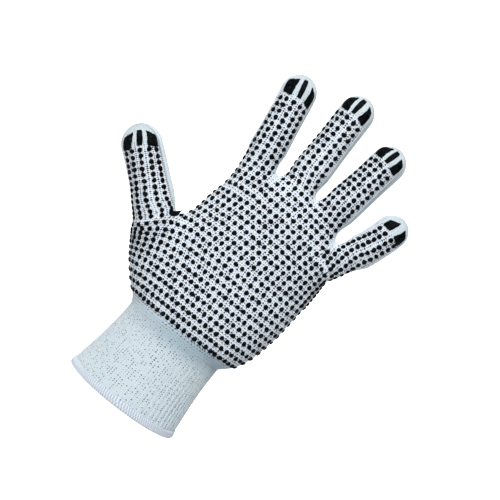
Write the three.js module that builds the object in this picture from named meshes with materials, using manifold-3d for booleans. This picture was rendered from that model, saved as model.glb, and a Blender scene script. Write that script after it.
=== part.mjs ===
import * as THREE from "three";
import { mergeVertices } from "three/addons/utils/BufferGeometryUtils.js";
import Module from "manifold-3d";

// Cotton work glove for the left hand, knitted without seams and shown worn full.
// Millimetres. +Z runs up the hand, the palm faces -Y and the thumb points to -X.
// The origin is the middle of the wrist opening, level with the cuff's hem.

// Knit
const KNIT_WALL = 1.8;
const PIECE_GAP = 0.3;

// Cuff
const CUFF_LENGTH = 53.4;
const HEM_HEIGHT = 4.7;
const HEM_WALL = 2.6;
const HEM_WIDTH = 78.5;
const HEM_DEPTH = 52;
const HEM_RISE = 1.4;
const WRIST_WIDTH = 69;
const WRIST_DEPTH = 42;
const WRIST_SHIFT = 2.2;
const RIB_COUNT = 42;
const RIB_RELIEF = 0.7;

// Hand tube, from the cuff to the knuckle line
const PALM_HEIGHT = 120;
const PALM_WIDTH = 101;
const PALM_DEPTH = 34;
const PALM_SHIFT = 6.5;
const KNUCKLE_SHIFT = 6.5;
const INDEX_SIDE_DROP = 18;
const LITTLE_SIDE_DROP = 31;
const WEB_DEPTH = 6;

// Stalls: free length from crotch to tip, and the length that runs down into the hand
const THUMB_LENGTH = 55;
const THUMB_WIDTH = 26;
const THUMB_DEPTH = 23;
const THUMB_MOUND = 44;
const THUMB_BURIED = 53.5;
const THUMB_LEAN_DEGREES = 52;
const THUMB_FORWARD = 12;
const INDEX_LENGTH = 66;
const INDEX_WIDTH = 23.2;
const MIDDLE_LENGTH = 67;
const MIDDLE_WIDTH = 22.8;
const RING_LENGTH = 57.8;
const RING_WIDTH = 23;
const LITTLE_LENGTH = 48;
const LITTLE_WIDTH = 21.8;
const FINGER_FLATNESS = 0.88;
const FINGER_BURIED = 20;
const FINGER_CURL = 5;

// Grip patches printed on the fingertips and in the thumb crotch
const PATCH_THICKNESS = 0.6;
const PATCH_CLEARANCE = 0.35;
const PATCH_LENGTH = 13.5;
const CROTCH_PATCH_SIZE = 7;
const CROTCH_PATCH_SIDES = [
  [30, 30],
  [68, 68],
];

// Fineness of the faceted surfaces
const HAND_SIDES = 32;
const STALL_SIDES = 18;
const LINING_SIDES = 12;
const TIP_RINGS = 5;
const SIDES_PER_RIB = 2;
const CUFF_STEPS = 5;

const KNIT_WHITE = 0xe9ebf2;
const RIB_GREY = 0xdde6e8;
const HEM_LAVENDER = 0xc9cbdc;
const PVC_BLACK = 0x1e2626;

const UP = new THREE.Vector3(0, 0, 1);

// The hand tube's edges and faces at each rise. left and right go from 0 at the wrist's
// width to 1 at the palm's width; front and back go from 0 at the wrist to 1 at the palm.
const HAND_SECTIONS = [
  { rise: 0.0, left: 0.0, right: 0.08, front: 0.0, back: 0.0 },
  { rise: 0.04, left: 0.1, right: 0.3, front: 0.05, back: 0.15 },
  { rise: 0.1, left: 0.25, right: 0.53, front: 0.15, back: 0.4 },
  { rise: 0.18, left: 0.4, right: 0.7, front: 0.3, back: 0.65 },
  { rise: 0.32, left: 0.6, right: 0.86, front: 0.55, back: 0.9 },
  { rise: 0.47, left: 0.95, right: 0.93, front: 0.8, back: 1.0 },
  { rise: 0.55, left: 1.0, right: 0.95, front: 0.95, back: 1.05 },
  { rise: 0.61, left: 0.6, right: 0.96, front: 1.05, back: 1.15 },
  { rise: 0.68, left: 0.4, right: 0.96, front: 1.2, back: 1.25 },
  { rise: 0.76, left: 0.3, right: 0.97, front: 1.5, back: 1.5 },
  { rise: 0.86, left: 0.24, right: 1.0, front: 1.95, back: 1.9 },
];

// The knuckle line closes the hand tube: a share of the section's width and depth.
const KNUCKLE_SECTIONS = [
  { rise: 0.93, width: 0.97, depth: 0.8 },
  { rise: 0.98, width: 0.93, depth: 0.5 },
  { rise: 1.0, width: 0.9, depth: 0.0 },
];

// Where each stall's axis starts: across the palm's width from its thumb side, and up
// the palm's height. Leans are degrees from +Z towards +X at the root and at the tip.
const STALLS = [
  {
    name: "thumb",
    length: THUMB_LENGTH,
    buried: THUMB_BURIED,
    width: THUMB_WIDTH,
    depth: THUMB_DEPTH,
    across: 0.245,
    up: 0.125,
    leanRoot: -THUMB_LEAN_DEGREES * 0.75,
    leanTip: -THUMB_LEAN_DEGREES * 1.02,
    forward: THUMB_FORWARD,
  },
  {
    name: "index_finger",
    length: INDEX_LENGTH,
    buried: FINGER_BURIED * 0.62,
    width: INDEX_WIDTH,
    depth: INDEX_WIDTH * FINGER_FLATNESS,
    across: 0.238,
    up: 0.85,
    leanRoot: -8,
    leanTip: -10,
    forward: FINGER_CURL,
  },
  {
    name: "middle_finger",
    length: MIDDLE_LENGTH,
    buried: FINGER_BURIED,
    width: MIDDLE_WIDTH,
    depth: MIDDLE_WIDTH * FINGER_FLATNESS,
    across: 0.498,
    up: 0.87,
    leanRoot: 1,
    leanTip: -1,
    forward: FINGER_CURL,
  },
  {
    name: "ring_finger",
    length: RING_LENGTH,
    buried: FINGER_BURIED,
    width: RING_WIDTH,
    depth: RING_WIDTH * FINGER_FLATNESS,
    across: 0.728,
    up: 0.85,
    leanRoot: 12,
    leanTip: 8,
    forward: FINGER_CURL,
  },
  {
    name: "little_finger",
    length: LITTLE_LENGTH,
    buried: FINGER_BURIED * 0.82,
    width: LITTLE_WIDTH,
    depth: LITTLE_WIDTH * FINGER_FLATNESS,
    across: 0.878,
    up: 0.734,
    leanRoot: 42.5,
    leanTip: 6,
    forward: FINGER_CURL,
  },
];

// Girth along a finger, as shares of its width; along counts from root to tip.
const FINGER_GIRTH = [
  { along: -1.0, width: 0.9, depth: 0.85 },
  { along: 0.0, width: 1.07, depth: 1.06 },
  { along: 0.25, width: 1.03, depth: 1.02 },
  { along: 0.5, width: 0.99, depth: 0.99 },
  { along: 0.75, width: 1.0, depth: 0.98 },
  { along: 1.0, width: 0.98, depth: 0.94 },
];

// Girth along the thumb. mound blends from the stall's width to the thumb mound's.
const THUMB_GIRTH = [
  { along: -1.0, mound: 0.45 },
  { along: -0.84, mound: 0.8 },
  { along: -0.6, mound: 0.82 },
  { along: -0.38, mound: 0.66 },
  { along: -0.1, mound: 0.36 },
  { along: 0.12, mound: 0.12 },
  { along: 0.35, mound: 0.02 },
  { along: 1.0, mound: 0.0 },
];

// Grip patches on each tip. from and to are the patch's two sides, as angles in degrees
// round the stall at its low end and at its high end: 0 is the middle of the palm side,
// minus is towards the thumb side of the hand. low and high are its two ends, as
// distances below the tip in shares of the patch length, at its first and second side.
const TIP_PATCHES = [
  { stall: "thumb", part: "outer", from: [-58, -50], to: [-26, -15],
    low: [1.05, 1.0], high: [0.44, 0.29] },
  { stall: "thumb", part: "mid", from: [-9, -1], to: [3, 14],
    low: [0.91, 0.93], high: [0.25, 0.28] },
  { stall: "thumb", part: "inner", from: [14, 27], to: [42, 46],
    low: [0.98, 1.2], high: [0.33, 0.66] },
  { stall: "index_finger", part: "outer", from: [-44, -50], to: [-16, -20],
    low: [1.11, 1.09], high: [0.5, 0.29] },
  { stall: "index_finger", part: "mid", from: [1, -2], to: [13, 14],
    low: [1.05, 1.06], high: [0.23, 0.23] },
  { stall: "index_finger", part: "inner", from: [29, 40], to: [54, 58],
    low: [1.12, 1.26], high: [0.36, 0.74] },
  { stall: "middle_finger", part: "outer", from: [-62, -68], to: [-35, -45],
    low: [1.02, 1.0], high: [0.47, 0.22] },
  { stall: "middle_finger", part: "mid", from: [-15, -17], to: [-4, 3],
    low: [0.9, 0.9], high: [0.16, 0.17] },
  { stall: "middle_finger", part: "inner", from: [10, 29], to: [36, 42],
    low: [0.97, 1.12], high: [0.25, 0.5] },
  { stall: "ring_finger", part: "outer", from: [-62, -70], to: [-33, -40],
    low: [0.93, 0.89], high: [0.48, 0.22] },
  { stall: "ring_finger", part: "mid", from: [-15, -15], to: [-4, 3],
    low: [0.85, 0.85], high: [0.16, 0.18] },
  { stall: "ring_finger", part: "inner", from: [10, 24], to: [34, 39],
    low: [0.94, 1.06], high: [0.28, 0.53] },
  { stall: "little_finger", part: "outer", from: [-38, -36], to: [-8, -1],
    low: [0.83, 0.81], high: [0.42, 0.22] },
  { stall: "little_finger", part: "inner", from: [11, 34], to: [48, 54],
    low: [0.78, 0.97], high: [0.28, 0.56] },
];

const wasm = await Module();
wasm.setup();

const mix = THREE.MathUtils.lerp;
const radians = THREE.MathUtils.degToRad;

/** The value of a table's column at a place, in a straight line between the rows. */
function sample(rows, key, column, place) {
  const last = rows.length - 1;
  const next = Math.min(Math.max(rows.findIndex((row) => row[key] >= place), 1), last);
  const end = place > rows[last][key] ? last : next;
  const start = end - 1;
  const share = (place - rows[start][key]) / (rows[end][key] - rows[start][key]);
  const kept = Math.min(Math.max(share, 0), 1);
  return mix(rows[start][column], rows[end][column], kept);
}

/** A rounded section's point at an angle: nearly an ellipse, a little fuller. */
function roundSection(angle, halfWidth, halfDepth) {
  const fullness = 0.9;
  const across = Math.cos(angle);
  const through = Math.sin(angle);
  return {
    across: halfWidth * Math.sign(across) * Math.abs(across) ** fullness,
    through: halfDepth * Math.sign(through) * Math.abs(through) ** fullness,
  };
}

/** The loft through rings of equal count, which run anticlockwise seen from its end.
 * Each end is closed by strips across the ring, so it follows the ring's own curve. */
function loft(rings) {
  const sides = rings[0].length;
  const lastRow = (rings.length - 1) * sides;
  const faces = [];
  for (let i = 0; i < sides; i += 1) {
    const j = (i + 1) % sides;
    for (let row = 0; row < lastRow; row += sides) {
      faces.push(row + i, row + j, row + sides + j, row + i, row + sides + j, row + sides + i);
    }
  }
  for (let i = 1; i < sides / 2; i += 1) {
    const across = sides - i;
    faces.push(i, i - 1, across, lastRow + i - 1, lastRow + i, lastRow + across);
    const next = (across + 1) % sides;
    if (i > 1) {
      faces.push(i - 1, next, across, lastRow + next, lastRow + i - 1, lastRow + across);
    }
  }
  const far = sides / 2;
  faces.push(far, far - 1, far + 1, lastRow + far - 1, lastRow + far, lastRow + far + 1);
  return solidFrom(rings.flat(), faces);
}

/** A solid from points and the corners of its outward faces. */
function solidFrom(points, faces) {
  const geometry = new THREE.BufferGeometry().setFromPoints(points);
  geometry.setIndex(faces);
  const merged = mergeVertices(geometry, 1e-4);
  return new wasm.Manifold(
    new wasm.Mesh({
      numProp: 3,
      vertProperties: new Float32Array(merged.getAttribute("position").array),
      triVerts: new Uint32Array(merged.getIndex().array),
    }),
  );
}

/** A named mesh of a solid, in one colour. */
function meshOf(name, solid, color, roughness) {
  const { vertProperties, triVerts } = solid.getMesh();
  const geometry = new THREE.BufferGeometry();
  geometry.setAttribute("position", new THREE.BufferAttribute(vertProperties, 3));
  geometry.setIndex(new THREE.BufferAttribute(triVerts, 1));
  geometry.computeVertexNormals();
  const material = new THREE.MeshStandardMaterial({ color, roughness, metalness: 0 });
  const mesh = new THREE.Mesh(geometry, material);
  mesh.name = name;
  return mesh;
}

/** The cuff's half sizes and middle at a height: widest at the hem, drawn in at the wrist. */
function cuffSection(height) {
  const share = THREE.MathUtils.clamp(height / CUFF_LENGTH, 0, 1);
  const drawnIn = Math.sin((Math.min(share / 0.85, 1) * Math.PI) / 2) ** 1.2;
  return {
    halfWidth: mix(HEM_WIDTH, WRIST_WIDTH, drawnIn) / 2,
    halfDepth: mix(HEM_DEPTH, WRIST_DEPTH, drawnIn) / 2,
    middle: mix(0, WRIST_SHIFT, share),
  };
}

/** A ring round the cuff, set out by an amount, with ribs if their relief isn't 0. */
function cuffRing(height, sides, set, relief) {
  const { halfWidth, halfDepth, middle } = cuffSection(height);
  const fade = 1 - Math.min(height / CUFF_LENGTH, 1);
  return Array.from({ length: sides }, (_, i) => {
    const angle = (i / sides) * 2 * Math.PI;
    const groove = relief * (i % SIDES_PER_RIB === 0 ? 0 : 1);
    const point = roundSection(angle, halfWidth + set - groove, halfDepth + set - groove);
    const rise = HEM_RISE * Math.cos(angle) ** 2 * fade;
    return new THREE.Vector3(middle + point.across, point.through, height + rise);
  });
}

/** A tube of the cuff between two heights, with a wall and ribs on its outside. */
function cuffTube(low, high, wall, set, relief) {
  const steps = relief > 0 ? CUFF_STEPS : 1;
  const heights = Array.from({ length: steps + 1 }, (_, i) => mix(low, high, i / steps));
  const sides = relief > 0 ? RIB_COUNT * SIDES_PER_RIB : HAND_SIDES;
  const outer = loft(heights.map((height) => cuffRing(height, sides, set, relief)));
  const past = 2 * HEM_RISE + PIECE_GAP;
  const innerHeights = [low - past, ...heights, high + past];
  const inner = loft(innerHeights.map((height) => cuffRing(height, 2 * LINING_SIDES, set - wall, 0)));
  return outer.subtract(inner);
}

/** The hand tube's section at a rise, before the knuckle line closes it. */
function handSection(rise) {
  const at = (column) => sample(HAND_SECTIONS, "rise", column, rise);
  const wristLeft = WRIST_SHIFT - WRIST_WIDTH / 2;
  const wristRight = WRIST_SHIFT + WRIST_WIDTH / 2;
  return {
    left: mix(wristLeft, PALM_SHIFT - PALM_WIDTH / 2, at("left")),
    right: mix(wristRight, PALM_SHIFT + PALM_WIDTH / 2, at("right")),
    front: mix(WRIST_DEPTH, PALM_DEPTH, at("front")) / 2,
    back: mix(WRIST_DEPTH, PALM_DEPTH, at("back")) / 2,
  };
}

/** How far the knuckle line drops below its top at a place across the hand. */
function knuckleDrop(x) {
  const top = PALM_SHIFT + KNUCKLE_SHIFT;
  const reach = PALM_WIDTH / 2;
  const share = (x - top) / reach;
  return (share < 0 ? INDEX_SIDE_DROP : LITTLE_SIDE_DROP) * share ** 2;
}

/** A ring of the hand tube, drawn in by a wall. */
function handRing(rise, wall, narrowing = 1, flattening = 1) {
  const sides = wall > 0 ? 2 * LINING_SIDES : HAND_SIDES;
  const { left, right, front, back } = handSection(rise);
  const middle = (left + right) / 2;
  const halfWidth = ((right - left) / 2) * narrowing - wall;
  const settled = THREE.MathUtils.smoothstep(rise, 0.35, 0.95);
  return Array.from({ length: sides }, (_, i) => {
    const angle = (i / sides) * 2 * Math.PI;
    const full = angle > Math.PI ? front : back;
    const halfDepth = mix(WEB_DEPTH / 2, full, flattening) - wall;
    const { across, through } = roundSection(angle, halfWidth, halfDepth);
    const x = middle + across;
    const drop = knuckleDrop(x) * settled;
    const closing = flattening < 1 ? wall : 0;
    return new THREE.Vector3(x, through, CUFF_LENGTH + rise * PALM_HEIGHT - drop - closing);
  });
}

/** The hand tube as a full solid, drawn in by a wall. start moves its lower end. */
function handSolid(wall, start) {
  const open = HAND_SECTIONS.map(({ rise }) => handRing(rise, wall));
  const closing = KNUCKLE_SECTIONS.map(({ rise, width, depth }) => handRing(rise, wall, width, depth));
  const lowest = open[0].map((point) => point.clone().addScaledVector(UP, start));
  return loft(start === 0 ? [...open, ...closing] : [lowest, ...open, ...closing]);
}

/** A stall's frame at a distance along it: middle, direction and the way across. */
function stallFrame(stall, distance) {
  const { length, buried, across, up, leanRoot, leanTip, forward } = stall;
  const total = length + buried;
  const start = new THREE.Vector3(
    PALM_SHIFT + (across - 0.5) * PALM_WIDTH,
    0,
    CUFF_LENGTH + up * PALM_HEIGHT,
  );
  const steps = 24;
  const middle = start.clone();
  const reached = buried + distance;
  for (let i = 0; i < steps; i += 1) {
    const lean = radians(mix(leanRoot, leanTip, ((i + 0.5) / steps) * (reached / total)));
    middle.x += (Math.sin(lean) * reached) / steps;
    middle.z += (Math.cos(lean) * reached) / steps;
  }
  middle.y = -forward * Math.max(reached / total, 0) ** 2;
  const lean = radians(mix(leanRoot, leanTip, reached / total));
  const slope = (2 * forward * reached) / total ** 2;
  const along = new THREE.Vector3(Math.sin(lean), -slope, Math.cos(lean)).normalize();
  const sideways = new THREE.Vector3(Math.cos(lean), 0, -Math.sin(lean));
  return { middle, along, sideways, through: along.clone().cross(sideways) };
}

/** A stall's half width and half depth at a distance, without its rounded tip. */
function stallGirth(stall, distance) {
  const { length, buried, width, depth, name } = stall;
  const place = distance < 0 ? distance / buried : distance / length;
  if (name === "thumb") {
    const mound = sample(THUMB_GIRTH, "along", "mound", place);
    return {
      halfWidth: mix(width, THUMB_MOUND, mound) / 2,
      halfDepth: mix(depth, depth * 1.4, mound) / 2,
    };
  }
  return {
    halfWidth: (width * sample(FINGER_GIRTH, "along", "width", place)) / 2,
    halfDepth: (depth * sample(FINGER_GIRTH, "along", "depth", place)) / 2,
  };
}

/** A stall's surface point, set out by an amount: 0 is the cloth's outside. */
function stallPoint(stall, distance, angle, set) {
  const { halfWidth, halfDepth } = stallGirth(stall, Math.min(distance, stall.length));
  const tip = stall.width / 2;
  const over = THREE.MathUtils.clamp((distance - stall.length + tip) / tip, 0, 1);
  const round = Math.sqrt(Math.max(1 - over ** 2, 0));
  const { middle, sideways, through, along } = stallFrame(stall, distance);
  const section = roundSection(angle, halfWidth * round, halfDepth * round);
  const outward = roundSection(angle, set * round, set * round);
  return middle
    .addScaledVector(sideways, section.across + outward.across)
    .addScaledVector(through, section.through + outward.through)
    .addScaledVector(along, set * over);
}

/** Distances along a stall for its rings: even steps, then closing in on the tip. The
 * buried end stops short by a cover, which keeps cloth round a hollow's lower end. */
function stallDistances(stall, cover) {
  const tip = stall.width / 2;
  const body = stall.length - tip;
  const buriedSteps = stall.name === "thumb" ? [-1, -0.84, -0.6, -0.3] : [-1, -0.4];
  const low = buriedSteps.map((share) => share * (stall.buried - cover));
  const shaft = [0, 0.25, 0.5, 0.75].map((share) => share * body);
  const round = Array.from({ length: TIP_RINGS }, (_, i) => {
    const turn = (i / (TIP_RINGS - 0.6)) * (Math.PI / 2);
    return body + tip * Math.sin(turn);
  });
  return [...low, ...shaft, ...round];
}

/** A stall as a full solid, set out by an amount. */
function stallSolid(stall, set) {
  const sides = set < 0 ? LINING_SIDES : STALL_SIDES;
  const cover = set < 0 ? 2 * KNIT_WALL : 0;
  const ring = (distance) =>
    Array.from({ length: sides }, (_, i) =>
      stallPoint(stall, distance, (i / sides) * 2 * Math.PI, set),
    );
  return loft(stallDistances(stall, cover).map(ring));
}

/** The part of a solid beyond the plane across a stall at a distance along it. */
function beyond(solid, stall, distance) {
  const { middle, along } = stallFrame(stall, distance);
  return solid.trimByPlane(along.toArray(), middle.dot(along));
}

/** The part of a solid short of the plane across a stall at a distance along it. */
function shortOf(solid, stall, distance) {
  const { middle, along } = stallFrame(stall, distance);
  return solid.trimByPlane(along.clone().negate().toArray(), -middle.dot(along));
}

/** The knitted hand and stalls, each its own tube, a gap apart where they join. */
function knitPieces() {
  const hollows = STALLS.map((stall) => stallSolid(stall, -KNIT_WALL));
  const cavity = wasm.Manifold.union([handSolid(KNIT_WALL, -4 * KNIT_WALL), ...hollows]);
  const pieces = [];
  let hand = handSolid(0, 0);
  for (const stall of STALLS) {
    hand = hand.add(shortOf(stallSolid(stall, 0), stall, 0));
  }
  STALLS.forEach((stall, index) => {
    const clearance = beyond(stallSolid(stall, PIECE_GAP), stall, 0);
    hand = hand.subtract(clearance);
    let free = beyond(stallSolid(stall, 0), stall, PIECE_GAP).subtract(hollows[index]);
    for (const other of STALLS.slice(0, index)) {
      free = free.subtract(beyond(stallSolid(other, PIECE_GAP), other, 0));
    }
    pieces.push(meshOf(`${stall.name}_knit`, free, KNIT_WHITE, 0.92));
  });
  const above = hand.trimByPlane([0, 0, 1], CUFF_LENGTH + PIECE_GAP);
  pieces.unshift(meshOf("palm_knit", above.subtract(cavity), KNIT_WHITE, 0.92));
  return pieces;
}

/** The ribbed cuff and its overlocked hem. */
function cuffPieces() {
  const hemTop = HEM_HEIGHT;
  const ribs = cuffTube(hemTop + PIECE_GAP, CUFF_LENGTH, KNIT_WALL, 0, RIB_RELIEF);
  const hem = cuffTube(0, hemTop, HEM_WALL, (HEM_WALL - KNIT_WALL) / 2, 0);
  return [meshOf("wrist_rib", ribs, RIB_GREY, 0.9), meshOf("cuff_hem", hem, HEM_LAVENDER, 0.88)];
}

/** A slab that follows a stall's cloth. Its two sides are angles round the stall, each
 * given at the slab's low end and its high end, and its two ends slant, each given by
 * its distance along the stall at the slab's two sides. */
function patchSolid(stall, from, to, low, high, columns, rows) {
  const base = PATCH_CLEARANCE;
  const layer = (set) =>
    Array.from({ length: (columns + 1) * (rows + 1) }, (_, k) => {
      const u = (k % (columns + 1)) / columns;
      const v = Math.floor(k / (columns + 1)) / rows;
      const side = mix(mix(from[0], from[1], v), mix(to[0], to[1], v), u);
      const angle = radians(side - 90);
      const distance = mix(mix(low[0], low[1], u), mix(high[0], high[1], u), v);
      return stallPoint(stall, distance, angle, set);
    });
  const points = [...layer(base), ...layer(base + PATCH_THICKNESS)];
  const count = points.length / 2;
  const at = (column, row) => row * (columns + 1) + column;
  const faces = [];
  for (let row = 0; row < rows; row += 1) {
    for (let column = 0; column < columns; column += 1) {
      const a = at(column, row);
      const b = at(column + 1, row);
      const c = at(column + 1, row + 1);
      const d = at(column, row + 1);
      faces.push(a + count, b + count, c + count, a + count, c + count, d + count);
      faces.push(a, c, b, a, d, c);
    }
  }
  const wall = (a, b) => faces.push(a, b, b + count, a, b + count, a + count);
  for (let column = 0; column < columns; column += 1) {
    wall(at(column, 0), at(column + 1, 0));
    wall(at(column + 1, rows), at(column, rows));
  }
  for (let row = 0; row < rows; row += 1) {
    wall(at(columns, row), at(columns, row + 1));
    wall(at(0, row + 1), at(0, row));
  }
  return solidFrom(points, faces);
}

/** The grip patches on the tips. */
function patchPieces() {
  return TIP_PATCHES.map(({ stall: name, part, from, to, low, high }) => {
    const stall = STALLS.find((one) => one.name === name);
    const above = (share) => stall.length - share * PATCH_LENGTH;
    const solid = patchSolid(stall, from, to, low.map(above), high.map(above), 3, 4);
    return meshOf(`${name}_patch_${part}`, solid, PVC_BLACK, 0.6);
  });
}

/** The small patch in the thumb's crotch, at the foot of the thumb stall. */
function crotchPatch() {
  const thumb = STALLS[0];
  const low = [0.12, 0.08].map((share) => share * CROTCH_PATCH_SIZE);
  const high = [0.5, 1.1].map((share) => share * CROTCH_PATCH_SIZE);
  const [from, to] = CROTCH_PATCH_SIDES;
  const solid = patchSolid(thumb, from, to, low, high, 2, 2);
  return meshOf("thumb_crotch_patch", solid, PVC_BLACK, 0.6);
}

const group = new THREE.Group();
group.add(...knitPieces(), ...cuffPieces(), ...patchPieces(), crotchPatch());

export default group;
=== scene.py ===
# %% [markdown]
# # A dotted cotton work glove
# The real glove is knitted in one run of cotton string, without a seam, and its palm
# is printed with rubbery PVC dots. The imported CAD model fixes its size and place, so
# it is loaded first, and every piece made here is set over it in the same frame.

import math
from functools import partial

import bpy
import numpy as np
from mathutils import Matrix, Vector


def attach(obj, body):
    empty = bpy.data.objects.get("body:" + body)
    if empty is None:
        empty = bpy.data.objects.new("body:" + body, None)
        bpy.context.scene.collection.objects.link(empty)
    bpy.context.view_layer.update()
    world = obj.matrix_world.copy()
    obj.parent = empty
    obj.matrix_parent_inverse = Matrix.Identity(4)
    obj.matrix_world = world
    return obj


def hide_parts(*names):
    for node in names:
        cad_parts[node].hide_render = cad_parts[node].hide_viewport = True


bpy.ops.wm.read_factory_settings(use_empty=True)
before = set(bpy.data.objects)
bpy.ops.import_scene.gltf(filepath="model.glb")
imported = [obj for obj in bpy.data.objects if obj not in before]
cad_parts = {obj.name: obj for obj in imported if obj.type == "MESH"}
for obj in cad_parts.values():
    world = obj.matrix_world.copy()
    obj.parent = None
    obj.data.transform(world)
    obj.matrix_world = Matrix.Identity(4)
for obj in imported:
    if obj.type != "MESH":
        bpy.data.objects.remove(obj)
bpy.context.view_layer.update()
rng = np.random.default_rng(38)

# %% [markdown]
# ## Named sizes
# The sizes are the pattern's own, in millimetres: a maker would give the palm's width,
# each finger's length and girth, and the cuff's. Everything that follows is worked out
# from them, and only the last step turns millimetres into metres.

# %% Sizes of the glove
CUFF_LENGTH, HEM_HEIGHT, HEM_RISE, HEM_WALL = 53.4, 4.7, 1.4, 2.6
HEM_WIDTH, HEM_DEPTH = 78.5, 52.0
WRIST_WIDTH, WRIST_DEPTH, WRIST_SHIFT = 69.0, 42.0, 2.2
PALM_HEIGHT, PALM_WIDTH, PALM_DEPTH, PALM_SHIFT = 120.0, 101.0, 34.0, 6.5
KNUCKLE_SHIFT, INDEX_SIDE_DROP, LITTLE_SIDE_DROP, WEB_DEPTH = 6.5, 18.0, 31.0, 6.0
THUMB_MOUND, KNIT_WALL = 44.0, 1.8
RIBS, HEM_WRAPS = 60, 150.0             # ribs, and turns of the hem's thread

# rise, left, right, front, back: 0 is the wrist's size and 1 the palm's
HAND_SECTIONS = np.array([
    [0.00, 0.00, 0.08, 0.00, 0.00],
    [0.04, 0.10, 0.30, 0.05, 0.15],
    [0.10, 0.25, 0.53, 0.15, 0.40],
    [0.18, 0.40, 0.70, 0.30, 0.65],
    [0.32, 0.60, 0.86, 0.55, 0.90],
    [0.47, 0.95, 0.93, 0.80, 1.00],
    [0.55, 1.00, 0.95, 0.95, 1.05],
    [0.61, 0.60, 0.96, 1.05, 1.15],
    [0.68, 0.40, 0.96, 1.20, 1.25],
    [0.76, 0.30, 0.97, 1.50, 1.50],
    [0.86, 0.24, 1.00, 1.95, 1.90],
])
# rise, width and depth as shares: how the hand tube closes at the knuckles
KNUCKLE_SECTIONS = np.array([
    [0.86, 1.00, 1.00],
    [0.93, 0.97, 0.80],
    [0.98, 0.93, 0.50],
    [1.00, 0.90, 0.00],
])
# along the finger from root (0) to tip (1), width and depth as shares
FINGER_GIRTH = np.array([
    [-1.0, 0.90, 0.85],
    [0.0, 1.07, 1.06],
    [0.25, 1.03, 1.02],
    [0.5, 0.99, 0.99],
    [0.75, 1.00, 0.98],
    [1.0, 0.98, 0.94],
])
# along the thumb, and how far its girth is blended into the thumb mound's
THUMB_GIRTH = np.array([
    [-1.0, 0.45],
    [-0.84, 0.80],
    [-0.6, 0.82],
    [-0.38, 0.66],
    [-0.1, 0.36],
    [0.12, 0.12],
    [0.35, 0.02],
    [1.0, 0.0],
])


def stall(length, buried, width, depth, across, up, lean, forward, columns, turn, rows):
    """One finger's or the thumb's tube, as a dictionary of its named sizes."""
    return dict(
        length=length, buried=buried, width=width, depth=depth, across=across, up=up,
        lean=lean, forward=forward, columns=columns, turn=turn, total=length + buried,
        root_course=rows[0], pitch=rows[1], last_dots=rows[2],
    )


# lean: degrees from upright at the root and the tip. columns: the dot columns at the
# two sides of its palm face. turn: degrees round the tube of those two columns, low
# down and at the tip, where 0 is the middle of the palm side. rows: the course at the
# root in dot rows from the wrist, a dot row's height, and how far out the last one is.
STALLS = {
    "thumb": stall(55.0, 53.5, 26.0, 23.0, 0.245, 0.125, (-39.0, -53.04), 12.0,
                   (-5.5, 0.0), ((-96, 48), (-60, 50)), (13.4, 3.93, 39.6)),
    "index_finger": stall(66.0, 12.4, 23.2, 20.416, 0.238, 0.85, (-8.0, -10.0), 5.0,
                          (0.0, 5.5), ((-74, 75), (-48, 67)), (22.98, 4.5, 47.7)),
    "middle_finger": stall(67.0, 20.0, 22.8, 20.064, 0.498, 0.87, (1.0, -1.0), 5.0,
                           (5.5, 11.5), ((-114, 61), (-79, 54)), (24.67, 4.6, 50.3)),
    "ring_finger": stall(57.8, 20.0, 23.0, 20.24, 0.728, 0.85, (12.0, 8.0), 5.0,
                         (11.5, 17.5), ((-90, 58), (-78, 47)), (25.01, 4.4, 42.1)),
    "little_finger": stall(48.0, 16.4, 21.8, 19.184, 0.878, 0.734, (42.5, 6.0), 5.0,
                           (17.5, 22.0), ((-82, 42), (-51, 59)), (22.08, 4.0, 34.0)),
}
FINGERS = ["index_finger", "middle_finger", "ring_finger", "little_finger"]
print("stalls:", {name: one["length"] for name, one in STALLS.items()})

# %% [markdown]
# ## Sections and axes
# Each stall is a tube round a gently curved axis, and each section is nearly an
# ellipse, a little fuller. The same few formulas serve the surface itself and the
# distance to it, which is used further on to melt the tubes into one skin.

# %% Formulas of the tubes
FULLNESS = 0.9              # the power of cosine and sine in a full ellipse
BULGE = 2 / FULLNESS        # the power n in its other formula, x^n + y^n = 1


def mix(a, b, share):
    """The value a share of the way from a to b."""
    return a + (b - a) * share


def smooth(low, high, value):
    """0 below low and 1 above high, with the S-shaped curve 3t^2 - 2t^3 between."""
    t = np.clip((value - low) / (high - low), 0, 1)
    return t * t * (3 - 2 * t)


def look_up(table, at, *columns):
    """Columns of a table, each read between its rows by the first column."""
    return [np.interp(at, table[:, 0], table[:, k]) for k in columns]


def between(at, known, points):
    """Points read between known ones, coordinate by coordinate."""
    return np.stack([np.interp(at, known, v) for v in points.T], -1)


def round_section(angle, half_width, half_depth):
    """Across and through of a full ellipse: cosine and sine, each to a power below 1."""
    c, s = np.cos(angle), np.sin(angle)
    return (half_width * np.sign(c) * np.abs(c) ** FULLNESS,
            half_depth * np.sign(s) * np.abs(s) ** FULLNESS)


def axis_table(one):
    """The axis by its length: small steps along the lean are added up from its start,
    and it goes on a little past both ends."""
    reached = np.linspace(-12.0, one["total"] + 14.0, 400)
    lean = np.radians(mix(*one["lean"], reached / one["total"]))
    half = (lean[1:] + lean[:-1]) / 2
    step = reached[1] - reached[0]
    x = np.concatenate([[0], np.cumsum(np.sin(half))]) * step
    z = np.concatenate([[0], np.cumsum(np.cos(half))]) * step
    x += PALM_SHIFT + (one["across"] - 0.5) * PALM_WIDTH - np.interp(0, reached, x)
    z += CUFF_LENGTH + one["up"] * PALM_HEIGHT - np.interp(0, reached, z)
    y = -one["forward"] * np.maximum(reached / one["total"], 0) ** 2
    return reached, x, y, z, lean


for one in STALLS.values():
    one["axis"] = axis_table(one)


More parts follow.
